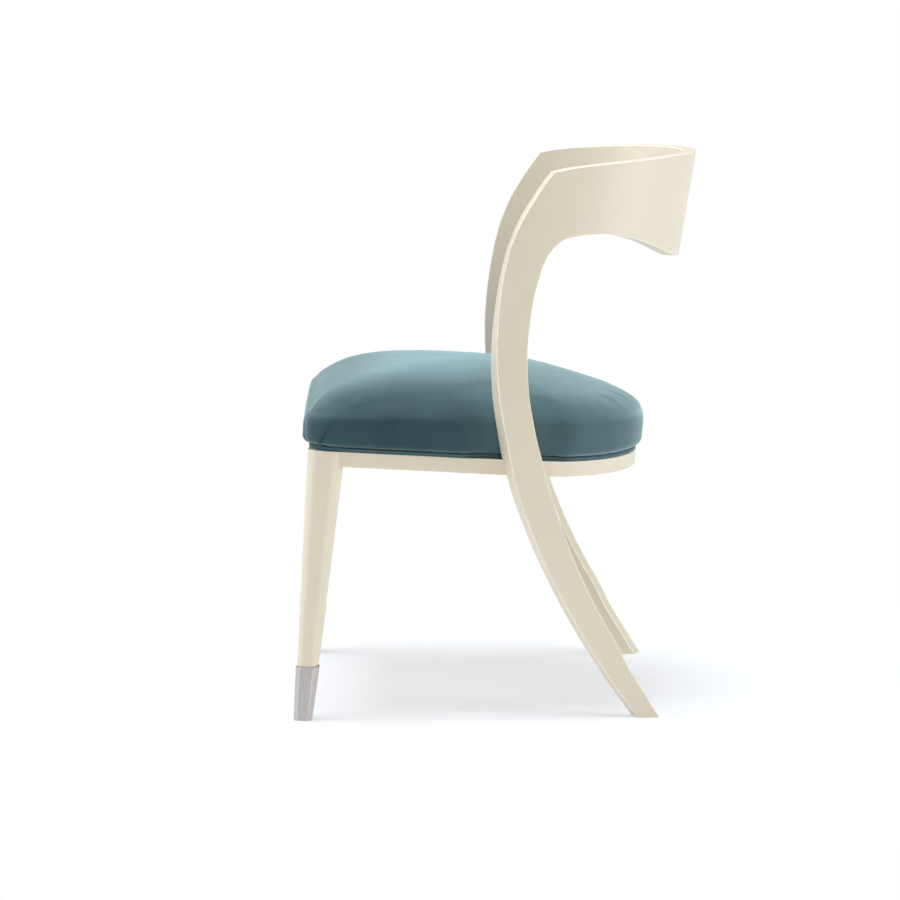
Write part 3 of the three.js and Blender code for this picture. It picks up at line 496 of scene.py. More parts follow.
# Piping under the pad's edge; its radius swells and narrows with each stitch and, more slowly,
# with each pull of the cloth.
welt = dict(
    radius=2.9, inset=.6, reach=5.2, notchShare=.6, gap=.3, count=900, sides=20, aheadSteps=3,
    mean=.985, stitchPitch=9, stitchShare=.015, pullPitch=61, pullShare=.01,
)
cushion = dict(
    cornerRadius=38.0, cornerSteps=60, sideSteps=300, sides=360, ringSteps=120, foot=.6,
    notchDepth=16.0, notchY=97.0, notchCore=40.0, notchFade=44.0,
    overhang=9.5, frontReach=7.0, centreY=30.0, height=118.5,
    # the front corners: how far they drop, where across, ahead and in height that sets in
    cornerDrop=8.0, cornerFade=12, dropAcross=(90, 230), dropAhead=(60, 205), dropHeight=(.1, .4),
    ridge=(.1, .4), wall=(55.0, 71.0), easeShare=.5, easeSteps=70,
    # spread, height at the front, at the sides and at the back, notch share
    rings=[(.953, .04, .04, .04, .6), (.979, .062, .062, .062, .8), (.995, .104, .104, .104, .9),
           (.999, .19, .19, .19, 1), (1, .375, .36, .375, 1), (.989, .44, .475, .5, 1),
           (.957, .466, .55, .572, 1), (.915, .555, .62, .625, .9), (.85, .658, .7, .679, .75),
           (.75, .755, .785, .735, .5), (.61, .852, .868, .82, .25), (.43, .928, .938, .92, 0),
           (.22, .98, .985, .982, 0), (.01, 1, 1, 1, 0)],
    # voxel, shrink and cap (the longest move) are metres; the foot is held, then freed bit by bit
    voxel=0.0054, quickVoxel=1.6, shrink=0.0015, cap=0.0016, heldFoot=9, heldFade=14,
    pressure=4.0, stretch=40, bending=8, frames=20, fill=0.75,
    # pleats: angle round the corner's centre, lean in degrees a millimetre, width, depth, top
    pleats=[(70, 0.1, 4.5, 1.3, 48), (40, -0.54, 3.6, 1.6, 40)],
    pleatCentre=(200.0, -158.0), pleatMargin=40, pleatReach=60, pleatFoot=6, pleatPower=.8, seam=2,
    # the last two set how dark and how wide the shade painted into each fold is
    rollShare=.6, rollAway=9, rollWidth=1.6, creaseShadeDepth=1.6, creaseShadeWidth=.6,
    # waves: depth in the seat, width, height of the wave
    waves=[(150, 7, 0.5), (166, 8, -0.4), (185, 9, 0.45), (214, 12, -0.3), (60, 8, 0.4), (38, 11, -0.4)],
    waveFoot=8, waveRise=14, waveTop=80, waveFall=40, waveLean=.12, waveMiddle=40, waveInner=60,
    # painted light: slopes in degrees over which shoulder and top are painted paler, as if lit from above,
    # and depths over which the side behind the posts is painted paler, as if lit from behind
    shoulderLightSlopes=(30, 62), shoulderShare=.14, topLightSlopes=(60, 95), backLightDepths=(5, 60), sideShare=.4,
    frontTurn=20, backTurn=15, lightEvenShare=.5, lightEvenSteps=60,
)


# Closed outline of the seat and its length: round front corners, straight sides, a half ellipse
# at the back, drawn in beside each post by a squared cosine, resampled at even spacing.
def seatEdge(inset, notchShare, count, reach=0.0):
    front, radius = seatFrame["frontY"] + inset - reach, cushion["cornerRadius"] - inset
    start, middle = front + radius, boardShape["arcStart"]
    turn = np.linspace(0, math.pi / 2, cushion["cornerSteps"])
    corner = np.column_stack([seatHalf(np.full(len(turn), start), inset) - radius + radius * np.sin(turn),
                              start - radius * np.cos(turn)])
    depths = np.linspace(start, middle, cushion["sideSteps"])[1:]
    side = np.column_stack([seatHalf(depths, inset), depths])
    turn = np.linspace(0, math.pi / 2, cushion["sideSteps"])[1:]
    back = np.column_stack([(seatFrame["sideHalf"] - inset) * np.cos(turn),
                            middle + (seatFrame["backY"] - middle - inset) * np.sin(turn)])
    right = np.concatenate([corner, side, back])
    away = np.abs(right[:, 1] - cushion["notchY"]) - cushion["notchCore"]
    away = np.clip(away / cushion["notchFade"], 0, 1)
    right[:, 0] -= cushion["notchDepth"] * notchShare * np.cos(away * math.pi / 2) ** 2
    loop = np.concatenate([right, right[-2::-1] * [-1, 1], right[:1]])
    walked = np.concatenate([[0], np.cumsum(np.linalg.norm(np.diff(loop, axis=0), axis=1))])
    even = np.linspace(0, walked[-1], count, endpoint=False)
    return np.column_stack([np.interp(even, walked, column) for column in loop.T]), walked[-1]


# Piping: a circle carried along the seat's edge.
def buildWelt():
    radius, steps = welt["radius"], welt["aheadSteps"]
    line, length = seatEdge(welt["inset"] + radius, welt["notchShare"], welt["count"], welt["reach"])
    ahead = np.roll(line, -steps, 0) - np.roll(line, steps, 0)
    ahead /= np.linalg.norm(ahead, axis=1, keepdims=True)
    outward = np.column_stack([ahead[:, 1], -ahead[:, 0]])
    turn = np.linspace(0, 2 * math.pi, welt["sides"], endpoint=False)
    along = np.linspace(0, length, welt["count"], endpoint=False)
    pucker = (welt["mean"] + welt["stitchShare"] * np.cos(along * 2 * math.pi / welt["stitchPitch"])
              + welt["pullShare"] * np.sin(along * 2 * math.pi / welt["pullPitch"]))
    out = radius * pucker[:, None] * np.cos(turn)
    x, y = line[:, :1] + outward[:, :1] * out, line[:, 1:] + outward[:, 1:] * out
    z = welt["gap"] + radius + radius * pucker[:, None] * np.sin(turn)
    rings = seatPoints(x, y, z)
    return makeMesh("seat_piping", rings.reshape(-1, 3), ringQuads(*rings.shape[:2], looped=True))


# Places ("co") or normals ("normal") of a mesh's points, a row for each.
def meshRows(mesh, key="co"):
    flat = np.empty(len(mesh.vertices) * 3, np.float32)
    mesh.vertices.foreach_get(key, flat)
    return flat.reshape(-1, 3).astype(float)


# Gives a mesh new places for its points.
def movePoints(mesh, points):
    mesh.vertices.foreach_set("co", points.astype(np.float32).ravel())
    mesh.update()


# The mesh that a piece's modifiers show becomes its own, and the modifiers go.
def applyModifiers(piece):
    graph = bpy.context.evaluated_depsgraph_get()
    baked = bpy.data.meshes.new_from_object(piece.evaluated_get(graph))
    piece.modifiers.clear()
    old = piece.data
    piece.data = baked
    bpy.data.meshes.remove(old)


# Back from the frame into the seat's own plane, in millimetres.
def untilt(points):
    angle = math.radians(seatFrame["tilt"])
    y, z = points[:, 1] / mm - shiftY, points[:, 2] / mm - seatFrame["height"]
    return np.column_stack([points[:, 0] / mm, y * math.cos(angle) - z * math.sin(angle),
                            y * math.sin(angle) + z * math.cos(angle)])


# Soft climb from 0 at low to 1 at high: three times the square of the share gone, less twice
# its cube.
def easeBetween(values, low, high):
    share = np.clip((values - low) / (high - low), 0, 1)
    return share * share * (3 - 2 * share)


# Crowned pad: the seat's outline, spread and raised ring by ring, with heights of its own at the
# front, the sides and the back; the front edge is pulled forwards.
def padRings():
    table, steps = np.array(cushion["rings"]), cushion["ringSteps"]
    rows = smoothRows(table[:, [0, 1, 0, 4]], steps)
    heights = [smoothRows(table[:, [0, side]], steps)[:, 1][:, None] for side in (1, 2, 3)]
    outlines = np.stack([seatEdge(-cushion["overhang"], max(0.0, share), cushion["sides"])[0]
                         for share in rows[:, 3]])
    centre = cushion["centreY"]
    spread = rows[:, 0][:, None]
    away = (outlines[..., 1] - centre) / (seatFrame["backY"] - centre)
    atSide = 1 - np.clip(np.abs(away), 0, 1) ** 2
    share = heights[1] * atSide + np.where(away < 0, heights[0], heights[2]) * (1 - atSide)
    first = table[0, 1]
    base = 2 * welt["radius"] + cushion["foot"]
    z = base + (cushion["height"] - base) * (share - first) / (1 - first)
    # the front corners stand a little lower than the edge between them
    corner = (easeBetween(np.abs(outlines[..., 0]), *cushion["dropAcross"])
              * easeBetween(-outlines[..., 1], *cushion["dropAhead"]))
    fade = easeBetween(share, *cushion["dropHeight"])
    z -= cushion["cornerDrop"] * corner * fade * spread ** cushion["cornerFade"]
    pull = np.clip(-away, 0, 1) * cushion["frontReach"]
    return np.stack([outlines[..., 0] * spread, centre + (outlines[..., 1] - pull - centre) * spread, z], -1)


# Evens out values given per point: each goes a share of the way to the mean of its neighbours,
# again and again.
def evenOut(mesh, values, share, steps):
    ends = np.zeros(len(mesh.edges) * 2, np.int32)
    mesh.edges.foreach_get("vertices", ends)
    a, b = ends.reshape(-1, 2).T
    total = len(values)
    count = np.bincount(ends, minlength=total)[:, None]
    for step in range(steps):
        sums = [np.bincount(a, column[b], total) + np.bincount(b, column[a], total) for column in values.T]
        values = values + share * (np.column_stack(sums) / count - values)
    return values


# Softens the ridges that run from the front corners to the crown, and leaves the walls alone.
def easeRidges(piece):
    points = meshRows(piece.data)
    local = untilt(points)
    across = np.abs(local[:, 0]) / seatFrame["frontHalf"]
    ahead = (cushion["centreY"] - local[:, 1]) / (cushion["centreY"] - seatFrame["frontY"])
    share = cushion["easeShare"] * easeBetween(np.minimum(across, ahead), *cushion["ridge"])
    share *= easeBetween(local[:, 2], *cushion["wall"])
    movePoints(piece.data, evenOut(piece.data, points, share[:, None], cushion["easeSteps"]))


# Cushion: the lofted pad, remeshed and eased, swollen by the cloth solver with no point moving
# past the cap, divided once more, then sewn, with shade painted into its creases, and given painted light on
# its slopes.
def buildCushion():
    piece = loftRings("seat_pad", toFrame(tiltSeat(padRings())), None, False)
    remesh = piece.modifiers.new("remesh", "REMESH")
    remesh.mode, remesh.voxel_size = "VOXEL", cushion["voxel"] * 1
    applyModifiers(piece)
    easeRidges(piece)
    start = meshRows(piece.data)
    # the foot of the pad is held; everything above it may swell
    free = np.clip((untilt(start)[:, 2] - cushion["heldFoot"]) / cushion["heldFade"], 0, 1)
    small = start - meshRows(piece.data, "normal") * (cushion["shrink"] * free)[:, None]
    piece.data.vertices.foreach_set("co", small.astype(np.float32).ravel())
    held, weights = piece.vertex_groups.new(name="held"), np.round(1 - free, 1)
    for weight in np.unique(weights[weights > 0]):
        held.add(np.flatnonzero(weights == weight).tolist(), float(weight), "REPLACE")
    cloth = piece.modifiers.new("cloth", "CLOTH")
    settings = cloth.settings
    settings.use_pressure, settings.uniform_pressure_force = True, cushion["pressure"]
    settings.vertex_group_mass, settings.effector_weights.gravity = "held", 0
    settings.tension_stiffness = settings.compression_stiffness = cushion["stretch"]
    settings.bending_stiffness = cushion["bending"]
    cloth.collision_settings.use_collision = False
    cloth.point_cache.frame_end = cushion["frames"]
    for step in range(1, cushion["frames"] + 1):
        scene.frame_set(step)
    applyModifiers(piece)
    scene.frame_set(1)
    moved = meshRows(piece.data) - start
    size = np.linalg.norm(moved, axis=1, keepdims=True)
    movePoints(piece.data, start + moved * np.minimum(1, cushion["cap"] / np.maximum(size, 1e-9)))
    smooth = piece.modifiers.new("smooth", "SUBSURF")
    smooth.levels = smooth.render_levels = 1
    applyModifiers(piece)
    piece.data.polygons.foreach_set("use_smooth", np.ones(len(piece.data.polygons), bool))
    piece.vertex_groups.clear()
    sewCushion(piece)
    # painted light: paler slopes that stand in for light from above and from behind
    paintVelvetLight(piece)
    return piece


# Seams and folds: moves along the normal by sums of narrow bell curves across each fold line,
# fading out along it, each fold with a soft roll beside it; wide low waves give the stretched
# cloth beside the posts. A mask keeps where shade is painted into the creases, darker where a crease is
# deeper.
def sewCushion(piece):
    points, normals = meshRows(piece.data), meshRows(piece.data, "normal")
    local = untilt(points)
    x, y, z = np.abs(local[:, 0]), local[:, 1], local[:, 2]
    push, creaseShadeMask = np.zeros(len(points)), np.zeros(len(points))
    # pleats at the two front corners: angle round the corner's centre picks the fold line
    centreX, centreY = cushion["pleatCentre"]
    margin, reach = cushion["pleatMargin"], cushion["pleatReach"]
    angle = np.degrees(np.arctan2(-(y - centreY), x - centreX))
    near = np.clip((x - centreX + margin) / reach, 0, 1) * np.clip((-y + centreY + margin) / reach, 0, 1)
    for at, lean, width, deep, top in cushion["pleats"]:
        fade = np.clip(1 - (z - cushion["pleatFoot"]) / top, 0, 1) ** cushion["pleatPower"]
        fade *= z > cushion["seam"]
        away = angle - at - lean * z
        roll = (away - cushion["rollAway"]) / (cushion["rollWidth"] * width)
        push -= deep * near * fade * np.exp(-(away / width) ** 2)
        push += cushion["rollShare"] * deep * near * fade * np.exp(-roll ** 2)
        # painted shade: a narrow bell along each fold line, as dark as the fold is deep
        shade = np.exp(-(away / (cushion["creaseShadeWidth"] * width)) ** 2)
        creaseShadeMask = np.maximum(creaseShadeMask, deep / cushion["creaseShadeDepth"] * near * fade * shade)
    # soft upright waves in the side beside and behind the posts
    side = (np.clip((z - cushion["waveFoot"]) / cushion["waveRise"], 0, 1)
            * np.clip((cushion["waveTop"] - z) / cushion["waveFall"], 0, 1))
    for at, width, deep in cushion["waves"]:
        away = y - at - cushion["waveLean"] * (z - cushion["waveMiddle"])
        push += deep * side * np.exp(-(away / width) ** 2) * (x > cushion["waveInner"])
    movePoints(piece.data, points + normals * (push * mm)[:, None])
    storeValues(piece.data, "creaseShade", creaseShadeMask)


# Painted light on the pad at each point: paler as the slope turns towards the top, standing in for
# light from above, sooner where the pad turns to the front and later behind the posts, whose sides
# are painted paler by a fixed share of what is left, standing in for light from behind.
def paintVelvetLight(piece):
    normals = meshRows(piece.data, "normal")
    slope = np.degrees(np.arcsin(np.clip(normals[:, 2], -1, 1)))
    behind = easeBetween(untilt(meshRows(piece.data))[:, 1], *cushion["backLightDepths"])
    slope += cushion["frontTurn"] * np.clip(-normals[:, 1], 0, 1) - cushion["backTurn"] * behind
    shoulder = cushion["shoulderShare"] * easeBetween(slope, *cushion["shoulderLightSlopes"])
    top = shoulder + (1 - cushion["shoulderShare"]) * easeBetween(slope, *cushion["topLightSlopes"])
    paintedLight = (top + cushion["sideShare"] * behind * (1 - top))[:, None]
    storeValues(piece.data, "paintedVelvetLight", evenOut(piece.data, paintedLight, cushion["lightEvenShare"], cushion["lightEvenSteps"]))


pad = buildCushion()
piping = buildWelt()
print("cushion made:", len(pad.data.polygons), "faces")


# Node group with inputs listed by kind and the three outputs that every effect has; also returns
# the sockets inside it, by name.
def newGroup(name, **inputs):
    group = bpy.data.node_groups.new(name, "ShaderNodeTree")
    inputs = {"Vector": ["Coordinates"], **inputs}
    outputs = {"Color": ["Colour"], "Float": ["Roughness", "Height"]}
    for way, kinds in (("INPUT", inputs), ("OUTPUT", outputs)):
        for kind, labels in kinds.items():
            for label in labels:
                group.interface.new_socket(name=label, in_out=way, socket_type="NodeSocket" + kind)
    return group, group.nodes.new("NodeGroupInput").outputs, group.nodes.new("NodeGroupOutput").inputs


# Sets a socket to a value, or links it where the value is another node's output.
def feed(tree, socket, value):
    if isinstance(value, bpy.types.NodeSocket):
        tree.links.new(value, socket)
    else:
        socket.default_value = value


# New shader node: inputs by name or number take a value or a socket, settings are its properties.
def addNode(tree, kind, inputs=None, **settings):
    node = tree.nodes.new("ShaderNode" + kind)
    for key, value in settings.items():
        setattr(node, key, value)
    for key, value in (inputs or {}).items():
        feed(tree, node.inputs[key], value)
    return node


# One operation on two numbers, each a value or a socket.
def mathNode(tree, operation, first, second):
    return addNode(tree, "Math", {0: first, 1: second}, operation=operation).outputs[0]


# One operation on two vectors, each a value or a socket.
def vectorNode(tree, operation, first, second):
    return addNode(tree, "VectorMath", {0: first, 1: second}, operation=operation).outputs[0]


# Colour mix: inputs 6 and 7 and output 2 of the node are its colour sockets.
def mixColour(tree, factor, first, second, blend="MIX"):
    inputs = {0: factor, 6: first, 7: second}
    return addNode(tree, "Mix", inputs, data_type="RGBA", blend_type=blend).outputs[2]


# Straight climb from 0 to 1 while the source goes from low to high.
def ramp(tree, source, low, high):
    node = addNode(tree, "MapRange", {"Value": source, "From Min": low, "From Max": high}, clamp=True)
    return node.outputs["Result"]


# Noise mask read at a place; its scale is a value or a socket.
def noise(tree, place, scale, detail, roughness=.5):
    inputs = {"Vector": place, "Scale": scale, "Detail": detail, "Roughness": roughness}
    return addNode(tree, "TexNoise", inputs).outputs["Fac"]


# Sprayed satin paint: slow tone drift, fine orange peel, and a painted highlight that makes the edges
# lighter in patches.
def paintGroup():
    group, given, out = newGroup("sprayed paint", Color=["Colour", "Edge highlight colour"],
                                 Float=["Drift", "Edge highlight mask", "Roughness"])
    place, colour = given["Coordinates"], given["Colour"]
    drift = noise(group, place, 5.5, 3.0, .45)
    spots = noise(group, place, 90.0, 2.0)
    peel = noise(group, place, 520.0, 2.0, .6)
    darker = mixColour(group, 1.0, colour, (.86, .85, .82, 1), "MULTIPLY")
    tone = mathNode(group, "MULTIPLY", ramp(group, drift, .3, .7), given["Drift"])
    fleck = mathNode(group, "MULTIPLY", ramp(group, spots, .45, .75), .06)
    body = mixColour(group, mathNode(group, "ADD", tone, fleck), colour, darker)
    # painted highlight: a lighter colour along the edges that the mask marks, in patches set by the spots
    edgeHighlight = mathNode(group, "MULTIPLY", given["Edge highlight mask"], ramp(group, spots, .25, .5))
    feed(group, out["Colour"], mixColour(group, edgeHighlight, body, given["Edge highlight colour"]))
    sheen = mathNode(group, "MULTIPLY", ramp(group, spots, .2, .8), .08)
    feed(group, out["Roughness"], mathNode(group, "ADD", given["Roughness"], sheen))
    feed(group, out["Height"], peel)
    return group


# Timber: bands and slow noise, both drawn out along one direction, give growth lines; finer
# noise gives pores.
def grainGroup():
    group, given, out = newGroup("timber grain", Color=["Light wood", "Dark wood"], Float=["Scale"])
    scale, dark = given["Scale"], given["Dark wood"]
    place = addNode(group, "Mapping", {"Vector": given["Coordinates"], "Scale": (1.0, .12, 1.0)}).outputs[0]
    slow = noise(group, place, scale, 4.0)
    bands = {"Vector": place, "Scale": mathNode(group, "MULTIPLY", scale, 3.0),
             "Distortion": 6.0, "Detail": 3.0, "Detail Scale": 2.0}
    lines = addNode(group, "TexWave", bands).outputs["Fac"]
    pores = noise(group, place, mathNode(group, "MULTIPLY", scale, 40.0), 3.0)
    figure = mathNode(group, "MULTIPLY", mathNode(group, "ADD", slow, lines), .5)
    body = mixColour(group, figure, given["Light wood"], dark)
    dots = ramp(group, pores, .58, .75)
    feed(group, out["Colour"], mixColour(group, mathNode(group, "MULTIPLY", dots, .35), body, dark))
    feed(group, out["Roughness"], mathNode(group, "ADD", mathNode(group, "MULTIPLY", figure, .15), .55))
    feed(group, out["Height"], mathNode(group, "SUBTRACT", figure, dots))
    return group


# Brushed metal: noise drawn out along one direction, with slow clouds of haze; a painted highlight lightens
# the corners.
def brushedGroup():
    group, given, out = newGroup("brushed metal", Vector=["Coordinates", "Stretch"], Color=["Colour"],
                                 Float=["Roughness", "Edge highlight mask"])
    place, colour = given["Coordinates"], given["Colour"]
    lines = noise(group, vectorNode(group, "MULTIPLY", place, given["Stretch"]), 1400.0, 3.0, .6)
    haze = noise(group, place, 60.0, 3.0)
    dim = mixColour(group, 1.0, colour, (.8, .79, .78, 1), "MULTIPLY")
    body = mixColour(group, ramp(group, lines, .35, .7), colour, dim)
    # painted highlight: the corners that the mask marks are mixed towards a light grey
    edgeHighlight = mathNode(group, "MULTIPLY", given["Edge highlight mask"], .35)
    feed(group, out["Colour"], mixColour(group, edgeHighlight, body, (.86, .85, .84, 1)))
    fine, wide = mathNode(group, "MULTIPLY", lines, .14), mathNode(group, "MULTIPLY", haze, .1)
    rough = mathNode(group, "ADD", fine, wide)
    feed(group, out["Roughness"], mathNode(group, "ADD", given["Roughness"], rough))
    feed(group, out["Height"], lines)
    return group


# Velvet pile: brushed patches lie lighter or darker, short fibres make the fine relief; masks
# blend in a painted light colour where the slopes face the light and a painted shade colour in the creases.
def pileGroup():
    group, given, out = newGroup("velvet pile", Float=["Patches", "Painted light mask", "Crease shade mask"],
                                 Color=["Colour", "Brushed colour", "Painted light colour", "Crease shade colour"])
    place = given["Coordinates"]
    warp = addNode(group, "TexNoise", {"Vector": place, "Scale": 9.0, "Detail": 2.0}).outputs["Color"]
    bent = vectorNode(group, "ADD", place, vectorNode(group, "MULTIPLY", warp, (.05, .05, .05)))
    patches = noise(group, bent, 13.0, 4.0)
    fibres = noise(group, place, 1100.0, 2.0, .7)
    brushed = mathNode(group, "MULTIPLY", ramp(group, patches, .35, .7), given["Patches"])
    speck = mathNode(group, "MULTIPLY", ramp(group, fibres, .3, .75), .3)
    body = mixColour(group, mathNode(group, "ADD", brushed, speck), given["Colour"], given["Brushed colour"])
    # painted light: the mask from the mesh mixes in a paler colour
    paintedLit = mixColour(group, given["Painted light mask"], body, given["Painted light colour"])
    # painted shade: the crease mask mixes in a near-black colour along the folds
    feed(group, out["Colour"], mixColour(group, given["Crease shade mask"], paintedLit, given["Crease shade colour"]))
    feed(group, out["Roughness"], mathNode(group, "ADD", mathNode(group, "MULTIPLY", patches, .1), .8))
    feed(group, out["Height"], mathNode(group, "ADD", fibres, mathNode(group, "MULTIPLY", patches, .3)))
    return group


effects = dict(paint=paintGroup(), grain=grainGroup(), brushed=brushedGroup(), pile=pileGroup())


# Screen colour, 0 to 255, as the linear colour that the shaders take.
def fromScreen(red, green, blue):
    values = np.array([red, green, blue]) / 255
    linear = np.where(values <= .04045, values / 12.92, ((values + .055) / 1.055) ** 2.4)
    return (*[float(v) for v in linear], 1.0)


# The node tree of a material or a world, emptied.
def emptyTree(owner):
    owner.use_nodes = True
    owner.node_tree.nodes.clear()
    return owner.node_tree


# One material: an effect group on Object coordinates, with masks that the mesh may hold, feeding
# a Principled shader and a bump.
def makeMaterial(name, groupName, settings, shader, bump, masks=(), turn=None):
    material = bpy.data.materials.new(name)
    tree = emptyTree(material)
    place = addNode(tree, "TexCoord").outputs["Object"]
    if turn is not None:
        place = addNode(tree, "Mapping", {"Rotation": turn, "Vector": place}).outputs[0]
    group = tree.nodes.new("ShaderNodeGroup")
    group.node_tree = effects[groupName]
    for key, value in {"Coordinates": place, **settings}.items():
        feed(tree, group.inputs[key], value)
    for attribute, socket in masks:
        feed(tree, group.inputs[socket], addNode(tree, "Attribute", attribute_name=attribute).outputs["Fac"])
    effect = group.outputs
    relief = addNode(tree, "Bump", {"Strength": bump[0], "Distance": bump[1], "Height": effect["Height"]})
    surface = addNode(tree, "BsdfPrincipled", {
        **shader, "Base Color": effect["Colour"], "Roughness": effect["Roughness"],
        "Normal": relief.outputs[0]})
    addNode(tree, "OutputMaterial", {"Surface": surface.outputs[0]})
    return material


finishes = dict(
    paint=makeMaterial(
        "ivory satin paint", "paint",
        # the edge colour is a painted highlight along the rounded edges
        {"Colour": fromScreen(220, 209, 186), "Drift": .25, "Edge highlight colour": fromScreen(240, 234, 221),
         "Roughness": .36},
        {"Coat Weight": .12, "Coat Roughness": .3}, (.12, .0002), masks=[("paintedEdgeHighlight", "Edge highlight mask")]),
    nickel=makeMaterial(
        "brushed nickel", "brushed",
        {"Colour": fromScreen(202, 196, 192), "Roughness": .3, "Stretch": (1.0, 1.0, .05)},
        # the mask paints a highlight on the cup's corners
        {"Metallic": .92, "Specular IOR Level": .5}, (.15, .0001), masks=[("paintedEdgeHighlight", "Edge highlight mask")]),
    velvet=makeMaterial(
        "teal velvet", "pile",
        {"Colour": fromScreen(38, 58, 61), "Brushed colour": fromScreen(62, 92, 95), "Patches": .35,
         # the paler colour is painted light on upward slopes and behind the posts; the near-black one is
         # painted shade in the folds
         "Painted light colour": fromScreen(94, 122, 124), "Crease shade colour": (.01, .03, .03, 1)},
        {"Sheen Weight": 1.0, "Sheen Roughness": .38, "Sheen Tint": fromScreen(208, 234, 234),
         "Specular IOR Level": .2},
        # the second mask sets where shade is painted into the folds
        (.35, .0006), masks=[("paintedVelvetLight", "Painted light mask"), ("creaseShade", "Crease shade mask")]),
    piping=makeMaterial(
        "teal velvet piping", "pile",
        {"Colour": fromScreen(64, 90, 94), "Brushed colour": fromScreen(84, 116, 119), "Patches": .3},
        {"Sheen Weight": .5, "Sheen Roughness": .38, "Sheen Tint": fromScreen(206, 232, 233),
         "Specular IOR Level": .2},
        (.35, .0005)),
    beech=makeMaterial(
        "planed beech", "grain",
        {"Light wood": fromScreen(214, 178, 137), "Dark wood": fromScreen(179, 138, 98), "Scale": 14.0},
        {"Specular IOR Level": .35}, (.25, .0004)),
    ply=makeMaterial(
        "birch plywood", "grain",
        {"Light wood": fromScreen(222, 196, 158), "Dark wood": fromScreen(193, 160, 118), "Scale": 6.0},
        {"Specular IOR Level": .3}, (.2, .0004), turn=(0, 0, .12)),
    steel=makeMaterial(
        "zinc plated steel", "brushed",
        {"Colour": fromScreen(168, 170, 173), "Roughness": .28, "Stretch": (1.0, .2, .2)},
        {"Metallic": .95}, (.12, .0001)),
)
print("materials made:", ", ".join(finishes))


# Gives a new piece its finish and its body, and hides the solids it stands for.
def settle(piece, finish, slot, *stoodFor):
    piece.data.materials.clear()
    piece.data.materials.append(finishes[finish])
    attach(piece, "root")
    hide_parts(*stoodFor)


settle(crest, "paint", "painted_wood", "crest")
for piece, side in zip(sabreLegs, ("left", "right")):
    settle(piece, "paint", "painted_wood", "rear_leg_" + side)
for piece, side in zip(taperedLegs, ("left", "right")):
    settle(piece, "paint", "painted_wood", "front_leg_" + side)
for piece, side in zip(footCups, ("left", "right")):
    settle(piece, "nickel", "ferrule_metal", "ferrule_" + side)
for piece, name in zip(rails, ("rail_front", "rail_side_left", "rail_side_right", "rail_back")):
    settle(piece, "paint", "painted_wood", name)
settle(pad, "velvet", "velvet", "seat_cushion")
settle(piping, "piping", "velvet", "seat_welt")

# Solids that stay as they are only get their finish
for name, node in nodes.items():
    kind = "steel" if "screw" in name or "bolt" in name else "ply" if name == "seat_board" else "beech"
    node.data.materials.clear()
    node.data.materials.append(finishes[kind])


studio = dict(
    floorSize=60.0, floorDrop=.0002, floorColour=fromScreen(250, 250, 250),
    shadeColour=fromScreen(240, 243, 247), floorLift=.42, fade=(.5, 1.3),
    sky=.32, skyColour=(1.0, .99, .97, 1),
    # name, place, width, height, power in watts, colour, aimed at the middle of the seat
    lamps=[("overhead softbox", (.02, -.35, 3.3), 1.6, 1.6, 90.0, (.92, .95, 1.0)),
           ("softbox behind", (.9, 3.5, 1.5), 2.4, 2.4, 76.0, (.8, .88, 1.0)),
           ("softbox in front", (.2, -3.5, 1.7), 2.4, 2.4, 71.0, (.83, .9, 1.0)),
           ("fill beside the camera", (3.6, .6, 2.6), 2.0, 2.0, 23.0, (.98, .99, 1.0))],
    aim=(0, 0, .45), cameraHeight=1.1586, cameraAway=5.175, nearSide=.235, cameraTurn=.66,
    cameraDrop=8.45, lens=146.8, sensor=36, clipEnd=200,
)


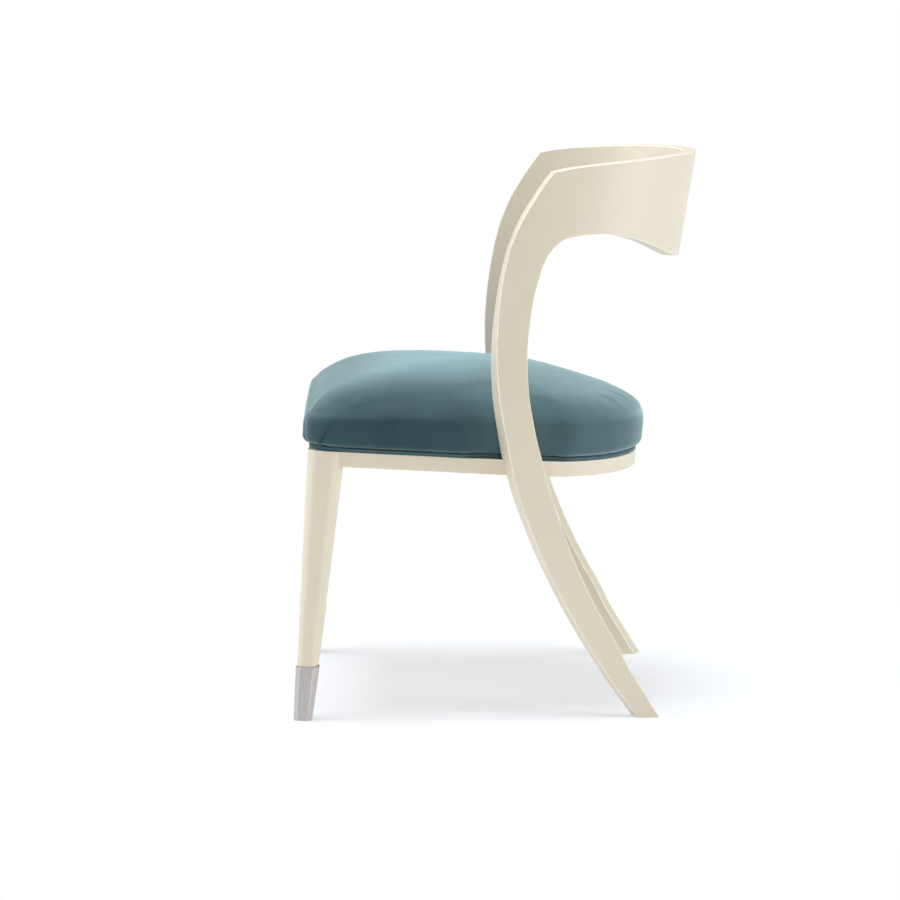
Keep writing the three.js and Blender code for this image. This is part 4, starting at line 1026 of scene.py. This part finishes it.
# Floor: plain diffuse white for the light; what the camera, glossy and clear rays see is lifted
# part of the way to white, so only the soft shadow darkens it.
def buildFloor():
    half = studio["floorSize"] / 2
    corners = [(-half, -half, 0), (half, -half, 0), (half, half, 0), (-half, half, 0)]
    floor = makeMesh("studio_floor", corners, [(0, 1, 2, 3)])
    material = bpy.data.materials.new("white floor")
    tree = emptyTree(material)
    plain = addNode(tree, "BsdfDiffuse", {"Color": studio["floorColour"]})
    shade = addNode(tree, "BsdfDiffuse", {"Color": studio["shadeColour"]})
    glow = addNode(tree, "Emission", {"Color": (1, 1, 1, 1), "Strength": 1.0})
    rays = addNode(tree, "LightPath").outputs
    seen = mathNode(tree, "MAXIMUM", rays["Is Camera Ray"], rays["Is Glossy Ray"])
    seen = mathNode(tree, "MAXIMUM", seen, rays["Is Transmission Ray"])
    # the further from the chair, the nearer to plain white
    place = addNode(tree, "TexCoord").outputs["Object"]
    away = addNode(tree, "VectorMath", {0: place}, operation="LENGTH").outputs["Value"]
    far = mathNode(tree, "MULTIPLY", ramp(tree, away, *studio["fade"]), 1 - studio["floorLift"])
    lift = mathNode(tree, "ADD", far, studio["floorLift"])
    lifted = addNode(tree, "MixShader", {0: lift, 1: shade.outputs[0], 2: glow.outputs[0]})
    mix = addNode(tree, "MixShader", {0: seen, 1: plain.outputs[0], 2: lifted.outputs[0]})
    addNode(tree, "OutputMaterial", {"Surface": mix.outputs[0]})
    floor.data.materials.append(material)
    floor.location.z = -studio["floorDrop"]


# Sky: a soft even light, plain white where the camera or a clear ray sees it.
def buildSky():
    scene.world = bpy.data.worlds.new("studio")
    tree = emptyTree(scene.world)
    light = addNode(tree, "Background", {"Color": studio["skyColour"], "Strength": studio["sky"]})
    seen = addNode(tree, "Background", {"Color": (1, 1, 1, 1), "Strength": 1.0})
    rays = addNode(tree, "LightPath").outputs
    mask = mathNode(tree, "MAXIMUM", rays["Is Camera Ray"], rays["Is Transmission Ray"])
    mix = addNode(tree, "MixShader", {0: mask, 1: light.outputs[0], 2: seen.outputs[0]})
    addNode(tree, "OutputWorld", {"Surface": mix.outputs[0]})


# Softboxes: area lamps that face the aim, above the floor under the seat's middle.
def buildLamps():
    for name, place, width, height, power, colour in studio["lamps"]:
        data = bpy.data.lights.new(name, "AREA")
        data.shape, data.size, data.size_y, data.energy = "RECTANGLE", width, height, power
        data.color = colour
        lamp = bpy.data.objects.new(name, data)
        scene.collection.objects.link(lamp)
        lamp.location = place
        lamp.rotation_euler = (Vector(studio["aim"]) - Vector(place)).to_track_quat("-Z", "Y").to_euler()


# Camera: level with drawing depth zero, swung by its turn round the chair's near side, then
# tilted down by its drop.
def buildCamera():
    data = bpy.data.cameras.new("photo camera")
    data.sensor_width = data.sensor_height = studio["sensor"]
    data.sensor_fit, data.lens, data.clip_end = "HORIZONTAL", studio["lens"], studio["clipEnd"]
    camera = bpy.data.objects.new("photo camera", data)
    scene.collection.objects.link(camera)
    turn = math.radians(studio["cameraTurn"])
    camera.location = (studio["nearSide"] + studio["cameraAway"] * math.cos(turn),
                       shiftY * mm - studio["cameraAway"] * math.sin(turn), studio["cameraHeight"])
    camera.rotation_euler = (math.radians(90 - studio["cameraDrop"]), 0, math.radians(90) - turn)
    scene.camera = camera


buildFloor()
buildSky()
buildLamps()
buildCamera()
print("studio ready")
